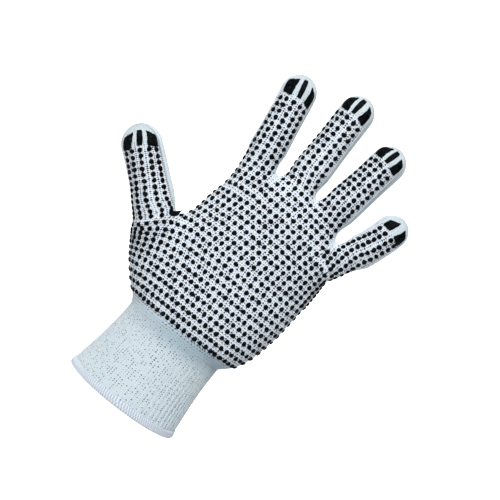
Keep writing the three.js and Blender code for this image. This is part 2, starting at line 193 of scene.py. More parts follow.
def stall_frame(one, distance):
    """Middle, along, sideways and through of the axis at distances from the root."""
    table, x, y, z, lean = one["axis"]
    reached = distance + one["buried"]
    middle = np.stack([np.interp(reached, table, v) for v in (x, y, z)], -1)
    tilt = np.interp(reached, table, lean)
    slope = 2 * one["forward"] * np.maximum(reached, 0) / one["total"] ** 2
    along = np.stack([np.sin(tilt), -slope, np.cos(tilt)], -1)
    along /= np.linalg.norm(along, axis=-1, keepdims=True)
    sideways = np.stack([np.cos(tilt), 0 * tilt, -np.sin(tilt)], -1)
    return middle, along, sideways, np.cross(along, sideways)


def stall_girth(one, distance):
    """Half width and half depth by distance: the girth table times the stall's size."""
    place = np.where(distance < 0, distance / one["buried"], distance / one["length"])
    if one is STALLS["thumb"]:
        mound = look_up(THUMB_GIRTH, place, 1)[0]
        return (mix(one["width"], THUMB_MOUND, mound) / 2,
                one["depth"] * mix(1, 1.4, mound) / 2)
    wide, deep = look_up(FINGER_GIRTH, place, 1, 2)
    return one["width"] * wide / 2, one["depth"] * deep / 2


def stall_point(one, distance, turn, proud=0.0):
    """A point on the stall: the section at that distance, shrunk to a round tip, with
    turn in degrees from the palm's middle and an amount that it stands proud."""
    angle = np.radians(turn - 90)
    half_width, half_depth = stall_girth(one, np.minimum(distance, one["length"]))
    tip = one["width"] / 2
    over = np.clip((distance - one["length"] + tip) / tip, 0, 1)
    shrink = np.sqrt(np.maximum(1 - over**2, 0))
    middle, along, sideways, through = stall_frame(one, distance)
    across, deep = round_section(angle, (half_width + proud) * shrink,
                                 (half_depth + proud) * shrink)
    return (middle + across[..., None] * sideways + deep[..., None] * through
            + (proud * over)[..., None] * along)


def knuckle_drop(x):
    """How far the knuckle line falls at x: the square of the distance from its top."""
    share = np.clip((x - PALM_SHIFT - KNUCKLE_SHIFT) / (PALM_WIDTH / 2), -1.15, 1.15)
    return np.where(share < 0, INDEX_SIDE_DROP, LITTLE_SIDE_DROP) * share**2


def hand_section(rise):
    """Left, right, front and back of the hand tube at a rise, from its table."""
    left, right, front, back = look_up(HAND_SECTIONS, rise, 1, 2, 3, 4)
    return (mix(WRIST_SHIFT - WRIST_WIDTH / 2, PALM_SHIFT - PALM_WIDTH / 2, left),
            mix(WRIST_SHIFT + WRIST_WIDTH / 2, PALM_SHIFT + PALM_WIDTH / 2, right),
            mix(WRIST_DEPTH, PALM_DEPTH, front) / 2, mix(WRIST_DEPTH, PALM_DEPTH, back) / 2)


middle_tip = stall_frame(STALLS["middle_finger"], STALLS["middle_finger"]["length"])[0]
print("middle fingertip at z", round(float(middle_tip[2]), 1), "mm")

# %% [markdown]
# ## One skin over all the tubes
# A knitted glove has no joints where the fingers start: the cloth runs on, in soft
# valleys. So each tube gives a rough distance to its surface, and the distances are
# melted together with a smooth minimum, which fills the creases by a millimetre or so.

# %% Distance to the skin
DROP_START, DROP_SPAN = 0.35, 0.6       # rises over which the knuckle line's fall sets in
FINGER_MELT, WEB_MELT, THUMB_MELT = 0.7, (2.0, 12.0), 5.0       # mm
ROOT_CAP, HAND_CAP = 6.0, 4.0           # mm over which a tube's open end is rounded off
AXIS_SPARE = 10                         # mm past a stall's ends where its axis is searched
PROBE = 0.05                            # mm, a step to feel the slope of the distance


def rounded_distance(across, deep, half_width, half_depth, cap, cap_size):
    """How far a point is from a full ellipse: its share of the radius less one, over
    how fast that share grows. cap is a third share, which rounds off an end."""
    a, b = np.abs(across) / half_width, np.abs(deep) / half_depth
    share = (a**BULGE + b**BULGE) ** (1 / BULGE) + 1e-9
    growth = share ** (1 - BULGE) * np.hypot(a ** (BULGE - 1) / half_width,
                                             b ** (BULGE - 1) / half_depth)
    whole = np.hypot(share, cap)
    slope = np.hypot(growth * share / whole, cap / whole / cap_size)
    return (whole - 1) / np.maximum(slope, 0.4 / half_width)


def stall_distance(one, p):
    """Distance to a stall: its nearest axis place is found by four corrections."""
    start = stall_frame(one, np.array(-one["buried"]))[0]
    end = stall_frame(one, np.array(one["length"]))[0]
    chord = (end - start) / np.linalg.norm(end - start)
    least, most = -AXIS_SPARE, one["total"] + AXIS_SPARE
    reached = np.clip((p - start) @ chord, least, most)
    for _ in range(4):
        middle, along, _, _ = stall_frame(one, reached - one["buried"])
        reached = np.clip(reached + ((p - middle) * along).sum(-1), least, most)
    distance = reached - one["buried"]
    middle, along, sideways, through = stall_frame(one, distance)
    half_width, half_depth = stall_girth(one, np.clip(distance, -one["buried"], one["length"]))
    tip = one["width"] / 2
    over = np.maximum((distance - one["length"] + tip) / tip, 0)
    under = np.maximum(-reached / ROOT_CAP, 0)
    off = p - middle
    return rounded_distance((off * sideways).sum(-1), (off * through).sum(-1),
                            half_width, half_depth, over + under, tip)


def hand_distance(p):
    """Distance to the hand tube: its rise at a point comes from four Newton steps."""
    x, y, z = p[..., 0], p[..., 1], p[..., 2]
    drop = knuckle_drop(x)
    rise = (z - CUFF_LENGTH) / PALM_HEIGHT
    for _ in range(4):
        t = np.clip((rise - DROP_START) / DROP_SPAN, 0, 1)
        miss = rise * PALM_HEIGHT - drop * t * t * (3 - 2 * t) - (z - CUFF_LENGTH)
        rise = rise - miss / (PALM_HEIGHT - drop * 6 * t * (1 - t) / DROP_SPAN)
    left, right, front, back = hand_section(rise)
    narrow, flat = look_up(KNUCKLE_SECTIONS, rise, 1, 2)
    depth = mix(WEB_DEPTH / 2, np.where(y < 0, front, back), flat)
    over = np.maximum((rise - 1) * PALM_HEIGHT / HAND_CAP, 0)
    return rounded_distance(x - (left + right) / 2, y, (right - left) / 2 * narrow,
                            depth, over, HAND_CAP)


def melt(a, b, reach):
    """The smaller of two distances, lowered by up to a quarter of the reach where the
    two are nearly equal."""
    near = np.maximum(reach - np.abs(a - b), 0) / reach
    return np.minimum(a, b) - near**2 * reach / 4


def skin_distance(p, with_thumb=True):
    """Distance to the whole glove: hand tube, fingers and thumb melted together."""
    fingers = stall_distance(STALLS[FINGERS[0]], p)
    for name in FINGERS[1:]:
        fingers = melt(fingers, stall_distance(STALLS[name], p), FINGER_MELT)
    soft = mix(*WEB_MELT, smooth(2.0, 8.0, np.abs(p[..., 1])))
    whole = melt(hand_distance(p), fingers, soft)
    if not with_thumb:
        return whole
    return melt(whole, stall_distance(STALLS["thumb"], p), THUMB_MELT)


def onto_skin(p, rounds):
    """Points moved onto the skin: each round steps down the slope of the distance."""
    for _ in range(rounds):
        here = skin_distance(p)
        ahead = [skin_distance(p + step) for step in np.eye(3) * PROBE]
        slope = (np.stack(ahead, -1) - here[..., None]) / PROBE
        steep = np.maximum((slope**2).sum(-1, keepdims=True), 0.25)
        p = p - np.clip(here, -4, 4)[..., None] * slope / steep
    return p


palm_middle = np.array([[5.0, -17.0, 110.0]])
print("distance at the palm's middle:", round(float(skin_distance(palm_middle)[0]), 2), "mm")

# %% [markdown]
# ## Rows of the knit
# A knitted surface has its own two directions: wales run up from the cuff into the
# fingers, and courses run round. The mesh follows them, so that stitches and dots can
# be laid by wale and course. Some rows are found first as guides, where a curved
# sheet cuts the skin, and at the roots, where each tube begins at its crotches.

# %% Guide rows
STEP = 1 / 6                # of a dot column, between two lines of the mesh
ROW_PITCH = 5.2             # mm, a dot row on the palm
RAYS = 1080                 # round a cut
OUTERMOST, STRIDE, HALVINGS = 78.0, 2, 14       # mm, mm and a count: how each ray is searched
FORK_SIDE, FORK_LOW, FORK_HIGH = 9, -16, 12     # mm, the grid laid over a fork
# In dot columns: the thumb's outer edge, the little finger's, and once round above the
# thumb. Column 0 is the thumb's crotch. In mesh lines: the thumb's face, and once round.
THUMB_EDGE, LITTLE_EDGE, ONCE_ROUND = -5.5, 22, 44
THUMB_LINES, HAND_LINES = 33, 264
HAND_EDGES = [0, LITTLE_EDGE, ONCE_ROUND]
WHOLE_EDGES = [THUMB_EDGE, LITTLE_EDGE, ONCE_ROUND - THUMB_EDGE]
U_ALL = np.round(np.arange(-THUMB_LINES, HAND_LINES + THUMB_LINES + 1) * STEP, 6)


def lines_in(columns):
    """How many lines of the mesh lie in a number of dot columns or rows."""
    return int(round(columns / STEP))


CROTCH_COLUMNS = (5.5, 11.5, 17.5)      # between one finger and the next
CROTCH_LINES = [lines_in(u) for u in CROTCH_COLUMNS]


def sheet_line(height, centre, starts, with_thumb):
    """Where a sheet z = height(x) cuts the skin, by rays from a centre: each ray is
    stepped inwards to the skin and then halved. starts are the degrees, from the thumb
    side round by the palm, where the palm face's columns begin and end. Without them
    that is where x is least and most."""
    turn = np.radians(np.linspace(-60, 300, RAYS + 1))
    ray = np.stack([-np.cos(turn), -np.sin(turn)], -1)

    def outside(radius):
        xy = np.array([centre, 0.0]) + ray * radius[:, None]
        return skin_distance(np.column_stack([xy, height(xy[:, 0])]), with_thumb) > 0, xy

    radius = np.full(len(turn), OUTERMOST)
    for _ in range(int(OUTERMOST / STRIDE)):
        radius = np.where(outside(radius)[0], radius - STRIDE, radius)
    low, high = radius, radius + STRIDE
    for _ in range(HALVINGS):
        middle = (low + high) / 2
        out = outside(middle)[0]
        low, high = np.where(out, low, middle), np.where(out, middle, high)
    xy = outside(low)[1]
    line = np.tile(np.column_stack([xy, height(xy[:, 0])])[:-1], (3, 1))
    degrees = np.degrees(turn[:-1])
    degrees = np.concatenate([degrees, degrees + 360, degrees + 720])
    run = np.concatenate([[0], np.cumsum(np.linalg.norm(np.diff(line, axis=0), axis=1))])
    if starts is None:
        first = np.argmin(line[:RAYS // 2, 0])
        last = first + np.argmax(line[first:first + RAYS, 0])
        marks = [run[first], run[last], run[first + RAYS]]
    else:
        marks = [np.interp(value, degrees, run) for value in (*starts, starts[0] + 360)]
    return line, run, marks


def along_line(found, u, edges):
    """Points of a cut line for columns u: even steps between its side marks."""
    line, run, marks = found
    return between(np.interp(u, edges, marks), run, line)


def valley(one, other, near):
    """The crotch between two stalls: on a grid laid over their fork, the highest point
    of the skin is found on each line along the fork, and the lowest of those is it."""
    up = stall_frame(one, np.array(0.0))[1] + (np.array([0, 0, 1.0]) if other is None
                                               else stall_frame(other, np.array(0.0))[1])
    up[1] = 0
    up /= np.linalg.norm(up)
    side = np.array([up[2], 0, -up[0]])
    s, t = np.meshgrid(np.linspace(-FORK_SIDE, FORK_SIDE, 73),
                       np.linspace(FORK_LOW, FORK_HIGH, 225), indexing="ij")
    p = np.array(near) + s[..., None] * side + t[..., None] * up
    inside = skin_distance(p.reshape(-1, 3)).reshape(s.shape) < 0
    top = np.where(inside, t, FORK_LOW).max(axis=1)
    return p[top.argmin(), np.abs(t[0] - top.min()).argmin()]


NEAR = [(-8.2, -0.1, 169.3), (19.8, -0.3, 177.4), (43.2, -0.1, 159.8)]     # where to look
crotches = [valley(STALLS[a], STALLS[b], near) for a, b, near in zip(FINGERS, FINGERS[1:], NEAR)]
thumb_crotch = valley(STALLS["thumb"], None, (-45.4, -1.5, 118.9))
print("finger crotches:", np.round(crotches, 1).tolist())
print("thumb crotch:", np.round(thumb_crotch, 1))

# %% [markdown]
# ## The knit's grid
# Below the thumb's crotch one grid runs round the whole tube. Above it the thumb has a
# grid of its own, and the palm's goes on to the finger crotches, where it splits into
# four. Each grid starts from the row that the one below ends in, so the stitches run
# on, and every point carries its wale and course as texture coordinates.

# %% Rows from the wrist to the thumb's root
THUMB_ROW = 12.6            # courses are counted in dot rows from the wrist
THUMB_ROOT_TILT = 3.0       # mm
MOUND_EDGE, MOUND_EASE = -38.0, 6.0     # mm: the mound's inner edge, and how softly rows bend
LOW_CENTRE, ROOT_CENTRE, HIGH_CENTRE = -4.0, 5.0, 8.0       # mm across, where rays start
CROTCH_PULL = 1.5           # dot columns over which the thumb's crotch draws a row in


def tube_turn(one, u, distance, root):
    """Degrees round a stall for columns u: the palm face's columns are spread between
    its two turns, which start at the sides and drift as the knit twists; the back
    takes the rest of the circle."""
    first, last = one["columns"]
    (low_a, low_b), (high_a, high_b) = one["turn"]
    share = np.clip(distance / one["length"], 0, 1)
    drift = smooth(0, 8, distance - root)
    start = mix(-90, mix(low_a, high_a, share), drift)
    stop = mix(90, mix(low_b, high_b, share), drift)
    span = last - first
    return np.where(u <= span, mix(start, stop, u / span),
                    mix(stop, start + 360, (u - span) / span))


def root_ring(one, left, right):
    """The first ring of a stall: its plane tilts, so that it meets the crotch points
    at its two sides. Returns distances, points and columns."""
    first, last = one["columns"]
    u = np.arange(2 * lines_in(last - first) + 1) * STEP
    turn = tube_turn(one, u, np.zeros_like(u), np.zeros_like(u))
    share = (1 + np.sin(np.radians(turn))) / 2
    distance = mix(left, right, share)
    return distance, stall_point(one, distance, turn), u


def reach_of(one, point):
    """How far along a stall a point lies, from its root."""
    distance = np.arange(-one["buried"], 30, 0.05)
    middle, along, _, _ = stall_frame(one, distance)
    return float(distance[np.abs(((point - middle) * along).sum(-1)).argmin()])


thumb = STALLS["thumb"]
thumb_right = reach_of(thumb, thumb_crotch)
thumb_root = root_ring(thumb, thumb_right - THUMB_ROOT_TILT, thumb_right)


def bend_at(x, amount):
    """How far a course drops over the thumb's mound: in a line, from its inner edge."""
    fold = MOUND_EDGE - x
    return amount * (fold + np.sqrt(fold**2 + MOUND_EASE**2)) / 2


# a row's course, its drop over the thumb's mound, and where its columns begin and end
LOWER_ROWS = [(0.0, 0.0, (-16, 181)), (1.58, 0.03, (-13, 181)), (4.5, 0.2, (-4, 180)),
              (7.5, 0.45, None), (9.8, 0.72, None), (11.3, 0.9, None)]
lower_v = [row for row, _, _ in LOWER_ROWS]
lower_rows = []
for row, amount, starts in LOWER_ROWS:
    def sheet(x, r=row, a=amount):
        return CUFF_LENGTH + r * ROW_PITCH - bend_at(x, a)
    cut = sheet_line(sheet, LOW_CENTRE, starts, True)
    lower_rows.append(along_line(cut, U_ALL, WHOLE_EDGES))

palm_level = sheet_line(lambda x: thumb_crotch[2] + 0 * x, ROOT_CENTRE, None, False)
hand_u = U_ALL[THUMB_LINES:-THUMB_LINES]
palm_ring = along_line(palm_level, hand_u, HAND_EDGES)
near = np.exp(-(np.minimum(hand_u, ONCE_ROUND - hand_u) / CROTCH_PULL) ** 2)
palm_ring = palm_ring + near[:, None] * (thumb_crotch - palm_ring[0])
root_points = thumb_root[1]
branch = np.concatenate([root_points[:THUMB_LINES], palm_ring, root_points[THUMB_LINES + 1:]])
branch[THUMB_LINES] = branch[THUMB_LINES + HAND_LINES] = thumb_crotch
lower_rows.append(branch)
lower_v.append(THUMB_ROW)
print("rows below the thumb's root:", [r.shape for r in lower_rows][:2], "at courses", lower_v)

# %% Rows from the thumb's root to the finger roots
ends = {}
for k, name in enumerate(FINGERS):
    one = STALLS[name]
    left = 0.0 if k == 0 else reach_of(one, crotches[k - 1])
    right = 0.0 if k == 3 else reach_of(one, crotches[k])
    ends[name] = root_ring(one, left, right)

root_row, root_v = np.zeros((HAND_LINES + 1, 3)), np.zeros(HAND_LINES + 1)
for name in FINGERS:
    one = STALLS[name]
    distance, points, _ = ends[name]
    a, b = (lines_in(u) for u in one["columns"])
    v = one["root_course"] + distance / one["pitch"]
    face, back = slice(a, b + 1), slice(HAND_LINES - b, HAND_LINES - a + 1)
    root_row[face], root_v[face] = points[:b - a + 1], v[:b - a + 1]
    root_row[back], root_v[back] = points[b - a:], v[b - a:]
for crotch, line in zip(crotches, CROTCH_LINES):
    root_row[line] = root_row[HAND_LINES - line] = crotch
root_row[HAND_LINES], root_v[HAND_LINES] = root_row[0], root_v[0]

# x and z of a few points along the finger roots
ROOT_LINE = np.array([[-34, 165.5], [-9, 172], [6, 176], [20, 176.5],
                      [33, 171], [45, 162], [64, 148]])
root_height = np.poly1d(np.polyfit(ROOT_LINE[:, 0], ROOT_LINE[:, 1], 4))
LAST_BELOW = 13.0           # mm, how far the last row between lies below the roots
bottom = thumb_crotch[2]
upper_rows, upper_v = [palm_ring], [np.full(HAND_LINES + 1, THUMB_ROW)]
palm_ring[0] = palm_ring[HAND_LINES] = thumb_crotch
for share in (0.3, 0.6, 1.0):
    def level(x, s=share):
        top = root_height(np.clip(x, -36, 66))
        return (mix(bottom, top, s) if s < 1 else top - LAST_BELOW) + 0 * x
    ring = along_line(sheet_line(level, HIGH_CENTRE, None, False), hand_u, HAND_EDGES)
    upper_rows.append(ring)
    upper_v.append(mix(THUMB_ROW, root_v, (ring[:, 2] - bottom) / (root_row[:, 2] - bottom)))
upper_rows.append(root_row)
upper_v.append(root_v)
print("courses at the finger roots:", np.round(root_v[[0, *CROTCH_LINES, HAND_LINES // 2]], 1))

# %% Fill between the rows
CURL = 2.2                  # the power of the curve by which rows swing in to a crotch
BETWEEN_ROWS = [17, 17, 14, 15]         # mesh rows from each upper guide row to the next
STALL_ROWS = {"index_finger": 76, "middle_finger": 82, "ring_finger": 74, "little_finger": 58}
THUMB_ROWS = 62


def fill(rows, courses, counts):
    """A grid between guide rows, by straight steps. The last rows swing in to the
    crotches on a quarter of a full ellipse in depth."""
    points, v = [rows[0][None]], [courses[0][None]]
    for k, count in enumerate(counts):
        t = (np.arange(1, count + 1) / count)[:, None]
        part = mix(rows[k][None], rows[k + 1][None], t[..., None])
        if k == len(counts) - 1:
            bow = (1 - t**CURL) ** (1 / CURL)
            part[..., 1] = mix(rows[k + 1][None, :, 1], rows[k][None, :, 1], bow)
        points.append(part)
        v.append(mix(courses[k][None], courses[k + 1][None], t))
    return np.concatenate(points), np.concatenate(v)


lower_courses = [np.full(len(U_ALL), v) for v in lower_v]
thumb_courses = THUMB_ROW - (thumb_right - thumb_root[0]) / thumb["pitch"]
lower_courses[-1][:THUMB_LINES + 1] = thumb_courses[:THUMB_LINES + 1]
lower_courses[-1][-THUMB_LINES - 1:] = thumb_courses[THUMB_LINES:]
counts = [max(lines_in(b - a), 3) for a, b in zip(lower_v, lower_v[1:])]
hand_low, hand_low_v = fill(lower_rows, lower_courses, counts)
hand_high, hand_high_v = fill(upper_rows, upper_v, BETWEEN_ROWS)
print("hand grids:", hand_low.shape, hand_high.shape)


def stall_grid(one, root, count, last_course):
    """A stall's grid: rings from its first one, spaced evenly by the way up the side
    and over the tip, with the twist of its columns."""
    distance, _, u = root
    tip = one["width"] / 2
    body = one["length"] - tip
    start = distance[None]
    way = mix(start, body + tip * math.pi / 2, (np.arange(count + 1) / count)[:, None])
    over = np.maximum(way - body, 0)
    reach = np.where(way < body, way, body + tip * np.sin(np.minimum(over / tip, math.pi / 2)))
    turn = tube_turn(one, u[None] + 0 * reach, reach, start)
    points = stall_point(one, reach, turn)
    points[-1] = points[-1].mean(axis=0)
    return points, last_course + (way - distance) / one["pitch"]


def columns_of(first, last):
    """Column numbers round a stall: up its palm face, then down the back's."""
    face = np.arange(lines_in(last - first) + 1) * STEP + first
    return face, ONCE_ROUND - face[::-1]


def thumb_side(row):
    """The two ends of a whole row, which run on into the thumb."""
    return np.concatenate([row[:THUMB_LINES + 1], row[-THUMB_LINES:]])


grids = {"hand_low": (hand_low, U_ALL[None] + 0 * hand_low_v, hand_low_v),
         "hand_high": (hand_high, hand_u[None] + 0 * hand_high_v, hand_high_v)}
points, v = stall_grid(thumb, thumb_root, THUMB_ROWS, thumb_side(lower_courses[-1]))
grids["thumb"] = (points, thumb_side(U_ALL)[None] + 0 * v, v)
for name, count in STALL_ROWS.items():
    one = STALLS[name]
    face, back = columns_of(*one["columns"])
    courses = one["root_course"] + ends[name][0] / one["pitch"]
    points, v = stall_grid(one, ends[name], count, courses)
    grids[name] = (points, np.concatenate([face, back[1:]])[None] + 0 * v, v)

# the first row of each grid is the very row that the grid below ends in
grids["thumb"][0][0] = thumb_side(hand_low[-1])
hand_high[0] = hand_low[-1][THUMB_LINES:-THUMB_LINES]
top = hand_high[-1]
for name in FINGERS:
    a, b = (lines_in(u) for u in STALLS[name]["columns"])
    grids[name][0][0] = np.concatenate([top[a:b + 1], top[HAND_LINES - b + 1:HAND_LINES - a + 1]])
print("stall grids:", {name: one[0].shape[:2] for name, one in grids.items()})

# %% [markdown]
# ## Weld, settle and press onto the skin
# The grids share their border points, so equal points are joined into one. Like
# stretched cloth, the mesh then settles: each point moves towards the middle of its
# neighbours, which evens out the stitches, and is pressed back onto the skin.

# %% Weld and settle
EASE = 0.6                  # how far a point moves to its neighbours' mean in a round
CROTCH_LOOSENESS = 0.15     # the crotches hardly move
raw = np.concatenate([points.reshape(-1, 3) for points, _, _ in grids.values()])
knit_points, weld = np.unique(np.round(raw, 6), axis=0, return_inverse=True)
weld = weld.ravel()
ids, at = {}, 0
for name, (points, _, _) in grids.items():
    size = points.shape[0] * points.shape[1]
    ids[name] = weld[at:at + size].reshape(points.shape[:2])
    at += size

edges = np.concatenate([np.stack([a.ravel(), b.ravel()], 1) for one in ids.values()
                        for a, b in ((one[:, :-1], one[:, 1:]), (one[:-1], one[1:]))])
edges = np.unique(np.sort(edges[edges[:, 0] != edges[:, 1]], axis=1), axis=0)
valence = np.bincount(edges.ravel(), minlength=len(knit_points))


def up_rows(name, low, high):
    """For each row of a grid: 0 below one row number, 1 above another."""
    return smooth(low, high, np.arange(len(ids[name])))[:, None]


looseness = np.ones(len(knit_points))
for name, one in ids.items():
    if name == "hand_low":
        looseness[one[0]] = 0
    elif name != "hand_high":
        looseness[one] = np.minimum(looseness[one], 1 - up_rows(name, 6, 26))
looseness[ids["hand_low"][-1][THUMB_LINES]] = CROTCH_LOOSENESS
looseness[ids["hand_high"][-1][CROTCH_LINES]] = CROTCH_LOOSENESS


def settled(points, rounds):
    """Each round moves the points a part of the way to the mean of their neighbours."""
    for _ in range(rounds):
        mean = np.stack([np.bincount(edges[:, 0], points[edges[:, 1], k], len(points))
                         + np.bincount(edges[:, 1], points[edges[:, 0], k], len(points))
                         for k in range(3)], -1) / valence[:, None]
        points = points + EASE * looseness[:, None] * (mean - points)
    return points


moving = looseness > 0
for _ in range(4):
    knit_points = settled(knit_points, 7)
    knit_points[moving] = onto_skin(knit_points[moving], 2)

# Stretched cloth bridges the last creases at the finger roots, so it settles once more
# there without being pressed back.
root_band = np.zeros(len(knit_points))
root_band[ids["hand_high"]] = up_rows("hand_high", 15, 40)
for name in FINGERS:
    root_band[ids[name]] = 1 - up_rows(name, 2, 16)
root_band[ids["thumb"]] = 0.6 * (1 - up_rows("thumb", 2, 16))
low = ids["hand_low"]
root_band[low] = np.maximum(root_band[low], 0.5 * up_rows("hand_low", 4, 12))
looseness *= root_band
knit_points = settled(knit_points, 110)

# The wrist's first course is the cuff's last one, and the palm swells out from it.
SWELL_ROWS = 11
first = ids["hand_low"][0]
ring_angle = np.arctan2(knit_points[first, 1], knit_points[first, 0] - WRIST_SHIFT)
across, deep = round_section(ring_angle, WRIST_WIDTH / 2, WRIST_DEPTH / 2)
pull = np.stack([WRIST_SHIFT + across, deep], -1) - knit_points[first, :2]
for row in range(SWELL_ROWS):
    level = ids["hand_low"][row][:-1]
    knit_points[level, :2] += (1 - smooth(0, SWELL_ROWS, row)) * pull[:-1]
off = np.abs(skin_distance(knit_points))
print("knit points:", len(knit_points), "off the skin by up to", round(float(off.max()), 2), "mm")

# %% [markdown]
# ## From arrays to pieces
# Blender takes a whole array of points and faces at once, which is far quicker than
# adding them one by one. The helper here also stores each corner's wale and course in
# a UV map, which the knit patterns read.

# %% Mesh helpers
def placed(name, data):
    """A new object that holds some data, put in the scene."""
    thing = bpy.data.objects.new(name, data)
    bpy.context.scene.collection.objects.link(thing)
    return thing


def put_mesh(name, points, faces, corners_uv=None):
    """A smooth-shaded object from points in millimetres, a list of face arrays, and
    one UV array for each of them."""
    mesh = bpy.data.meshes.new(name)
    corners = np.concatenate([f.ravel() for f in faces]).astype(np.int32)
    sizes = np.concatenate([np.full(len(f), f.shape[1]) for f in faces]).astype(np.int32)
    mesh.vertices.add(len(points))
    mesh.vertices.foreach_set("co", (np.asarray(points) * 0.001).ravel())
    mesh.loops.add(len(corners))
    mesh.loops.foreach_set("vertex_index", corners)
    mesh.polygons.add(len(sizes))
    starts = np.concatenate([[0], np.cumsum(sizes)[:-1]]).astype(np.int32)
    mesh.polygons.foreach_set("loop_start", starts)
    mesh.polygons.foreach_set("use_smooth", np.ones(len(sizes), bool))
    if corners_uv is not None:
        layer = mesh.uv_layers.new(name="Stitches")
        layer.data.foreach_set("uv", np.concatenate([c.ravel() for c in corners_uv]))
    mesh.update(calc_edges=True)
    mesh.validate()
    return placed(name, mesh)


def numbered(points):
    """The numbers of a grid's points."""
    return np.arange(points.shape[0] * points.shape[1]).reshape(points.shape[:2])


def four_corners(grid):
    """What a grid holds at the four corners of each of its faces."""
    corners = [grid[:-1, :-1], grid[:-1, 1:], grid[1:, 1:], grid[1:, :-1]]
    return np.stack(corners, 2).reshape(-1, 4, *grid.shape[2:])


def grid_faces(index, uv):
    """Four-cornered faces of a grid, and three-cornered ones where two corners meet."""
    quad, where = four_corners(index), four_corners(uv)
    whole = (quad[:, 2] != quad[:, 3]) & (quad[:, 0] != quad[:, 1])
    upper = quad[:, 2] == quad[:, 3]
    return [quad[whole], quad[upper][:, :3]], [where[whole], where[upper][:, :3]]


def point_normals(points, faces):
    """Each point's outward direction: the sum of its faces' cross products."""
    normal = np.zeros_like(points)
    for f in faces:
        turn = np.cross(points[f[:, 1]] - points[f[:, 0]], points[f[:, -1]] - points[f[:, 0]])
        for corner in f.T:
            normal += np.stack([np.bincount(corner, turn[:, k], len(points)) for k in range(3)], -1)
    return normal / np.maximum(np.linalg.norm(normal, axis=1, keepdims=True), 1e-9)


def faces_of(part_of):
    """Faces and corner UVs of all the grids, each passed through part_of first."""
    faces, corners = [], []
    for name, (_, u, v) in grids.items():
        f, c = grid_faces(*part_of(ids[name], np.stack([u, v], -1)))
        faces += f
        corners += c
    return faces, corners


knit_faces, knit_uv = faces_of(lambda index, uv: (index, uv))
knit_normals = point_normals(knit_points, knit_faces)
print("knit triangles:", sum(len(f) * (f.shape[1] - 2) for f in knit_faces))

# %% The knitted shell and its inside
glove_knit = put_mesh("string_knit", knit_points, knit_faces, knit_uv)


def lining_of(index, uv):
    """A coarser copy of a grid, every third line of it, turned to face inwards."""
    rows = np.unique(np.append(np.arange(0, index.shape[0], 3), index.shape[0] - 1))
    part = np.ix_(rows, np.arange(0, index.shape[1], 3))
    return index[part][:, ::-1], uv[part][:, ::-1]


inner_faces, inner_uv = faces_of(lining_of)
used, renumbered = np.unique(np.concatenate([f.ravel() for f in inner_faces]), return_inverse=True)
at, packed = 0, []
for f in inner_faces:
    packed.append(renumbered[at:at + f.size].reshape(f.shape))
    at += f.size
inner_points = (knit_points - KNIT_WALL * knit_normals)[used]
inside_knit = put_mesh("inside_of_the_knit", inner_points, packed, inner_uv)
print("inside:", len(inside_knit.data.polygons), "faces")

# %% [markdown]
# ## The cuff and its hem
# The cuff is a rib knit with elastic in it: ridges of knit stitches stand out between
# furrows of purl stitches, and it is closed below by an overlocked edge. Its tube is a
# grid too, whose radius rises and falls with the ribs and fades into the plain palm.

# %% Cuff grid
# mm: a rib's relief, how much more it has low down on the little finger's side, and the
# cloth's slack; and how far the ribs wander sideways, in ribs
RIB_RELIEF, RIB_MORE, SLACK, RIB_WANDER = 0.22, 0.30, 0.45, 0.10
HEM_LAP, PALM_LAP, RIB_FADE = 0.6, 0.4, 9       # mm: laps at its two ends, and the ribs' end


def cuff_ring(height, angle, proud):
    """A ring of the cuff: widest at the hem and drawn in to the wrist along a raised
    sine, with the hem's own rise at its sides."""
    share = np.clip(height / CUFF_LENGTH, 0, 1)
    drawn = np.sin(np.minimum(share / 0.85, 1) * math.pi / 2) ** 1.2
    half_width = mix(HEM_WIDTH, WRIST_WIDTH, drawn) / 2
    half_depth = mix(HEM_DEPTH, WRIST_DEPTH, drawn) / 2
    across, deep = round_section(angle, half_width + proud, half_depth + proud)
    rise = HEM_RISE * np.cos(angle) ** 2 * (1 - share)
    return np.stack([WRIST_SHIFT * share + across, deep + 0 * height, height + rise], -1)


def closed_ring_grid(points, v):
    """Index and UV arrays of a grid that closes on itself round each row."""
    index = numbered(points)
    index = np.concatenate([index, index[:, :1]], axis=1)
    u = np.linspace(0, 1, index.shape[1])[None] + 0 * v[:, None]
    return index, np.stack([u, v[:, None] + 0 * u], -1)


def rib_profile(turns):
    """A rib's height round the cuff, from 0 in a furrow to 1 on a ridge: a cosine, made
    flatter on top."""
    wave = (1 + np.cos(2 * math.pi * turns * RIBS)) / 2
    return wave**0.7


turns = np.arange(RIBS * 10) / (RIBS * 10)
angle = turns * 2 * math.pi
heights = np.linspace(HEM_HEIGHT - HEM_LAP, CUFF_LENGTH + PALM_LAP, 64)
wander = RIB_WANDER * np.sin(2 * math.pi * (heights[:, None] / 31 + 3 * turns[None])) / RIBS
fade = 1 - smooth(CUFF_LENGTH - RIB_FADE, CUFF_LENGTH, heights)[:, None]
depth = RIB_RELIEF + (RIB_MORE * smooth(0.4, 1.0, np.cos(angle + 0.5))[None]
                      * smooth(0.75, 0.1, heights / CUFF_LENGTH)[:, None])
relief = depth * fade * (rib_profile(turns[None] + wander) - 1) - 0.05 * (1 - fade)
slack = (SLACK * np.sin(2 * math.pi * (2 * turns[None] + 0.2))
         * np.sin(math.pi * heights[:, None] / CUFF_LENGTH))
outer = cuff_ring(heights[:, None], angle[None], relief + slack)
inner_heights = np.linspace(CUFF_LENGTH + PALM_LAP, HEM_HEIGHT - HEM_LAP, 20)
inner = cuff_ring(inner_heights[:, None], angle[None, ::2], -KNIT_WALL)
index_a, uv_a = closed_ring_grid(outer, heights / CUFF_LENGTH)
index_b, uv_b = closed_ring_grid(inner, inner_heights / CUFF_LENGTH)
cuff_faces, cuff_uv = grid_faces(index_a, uv_a)
more, more_uv = grid_faces(index_b + outer.shape[0] * outer.shape[1], uv_b)
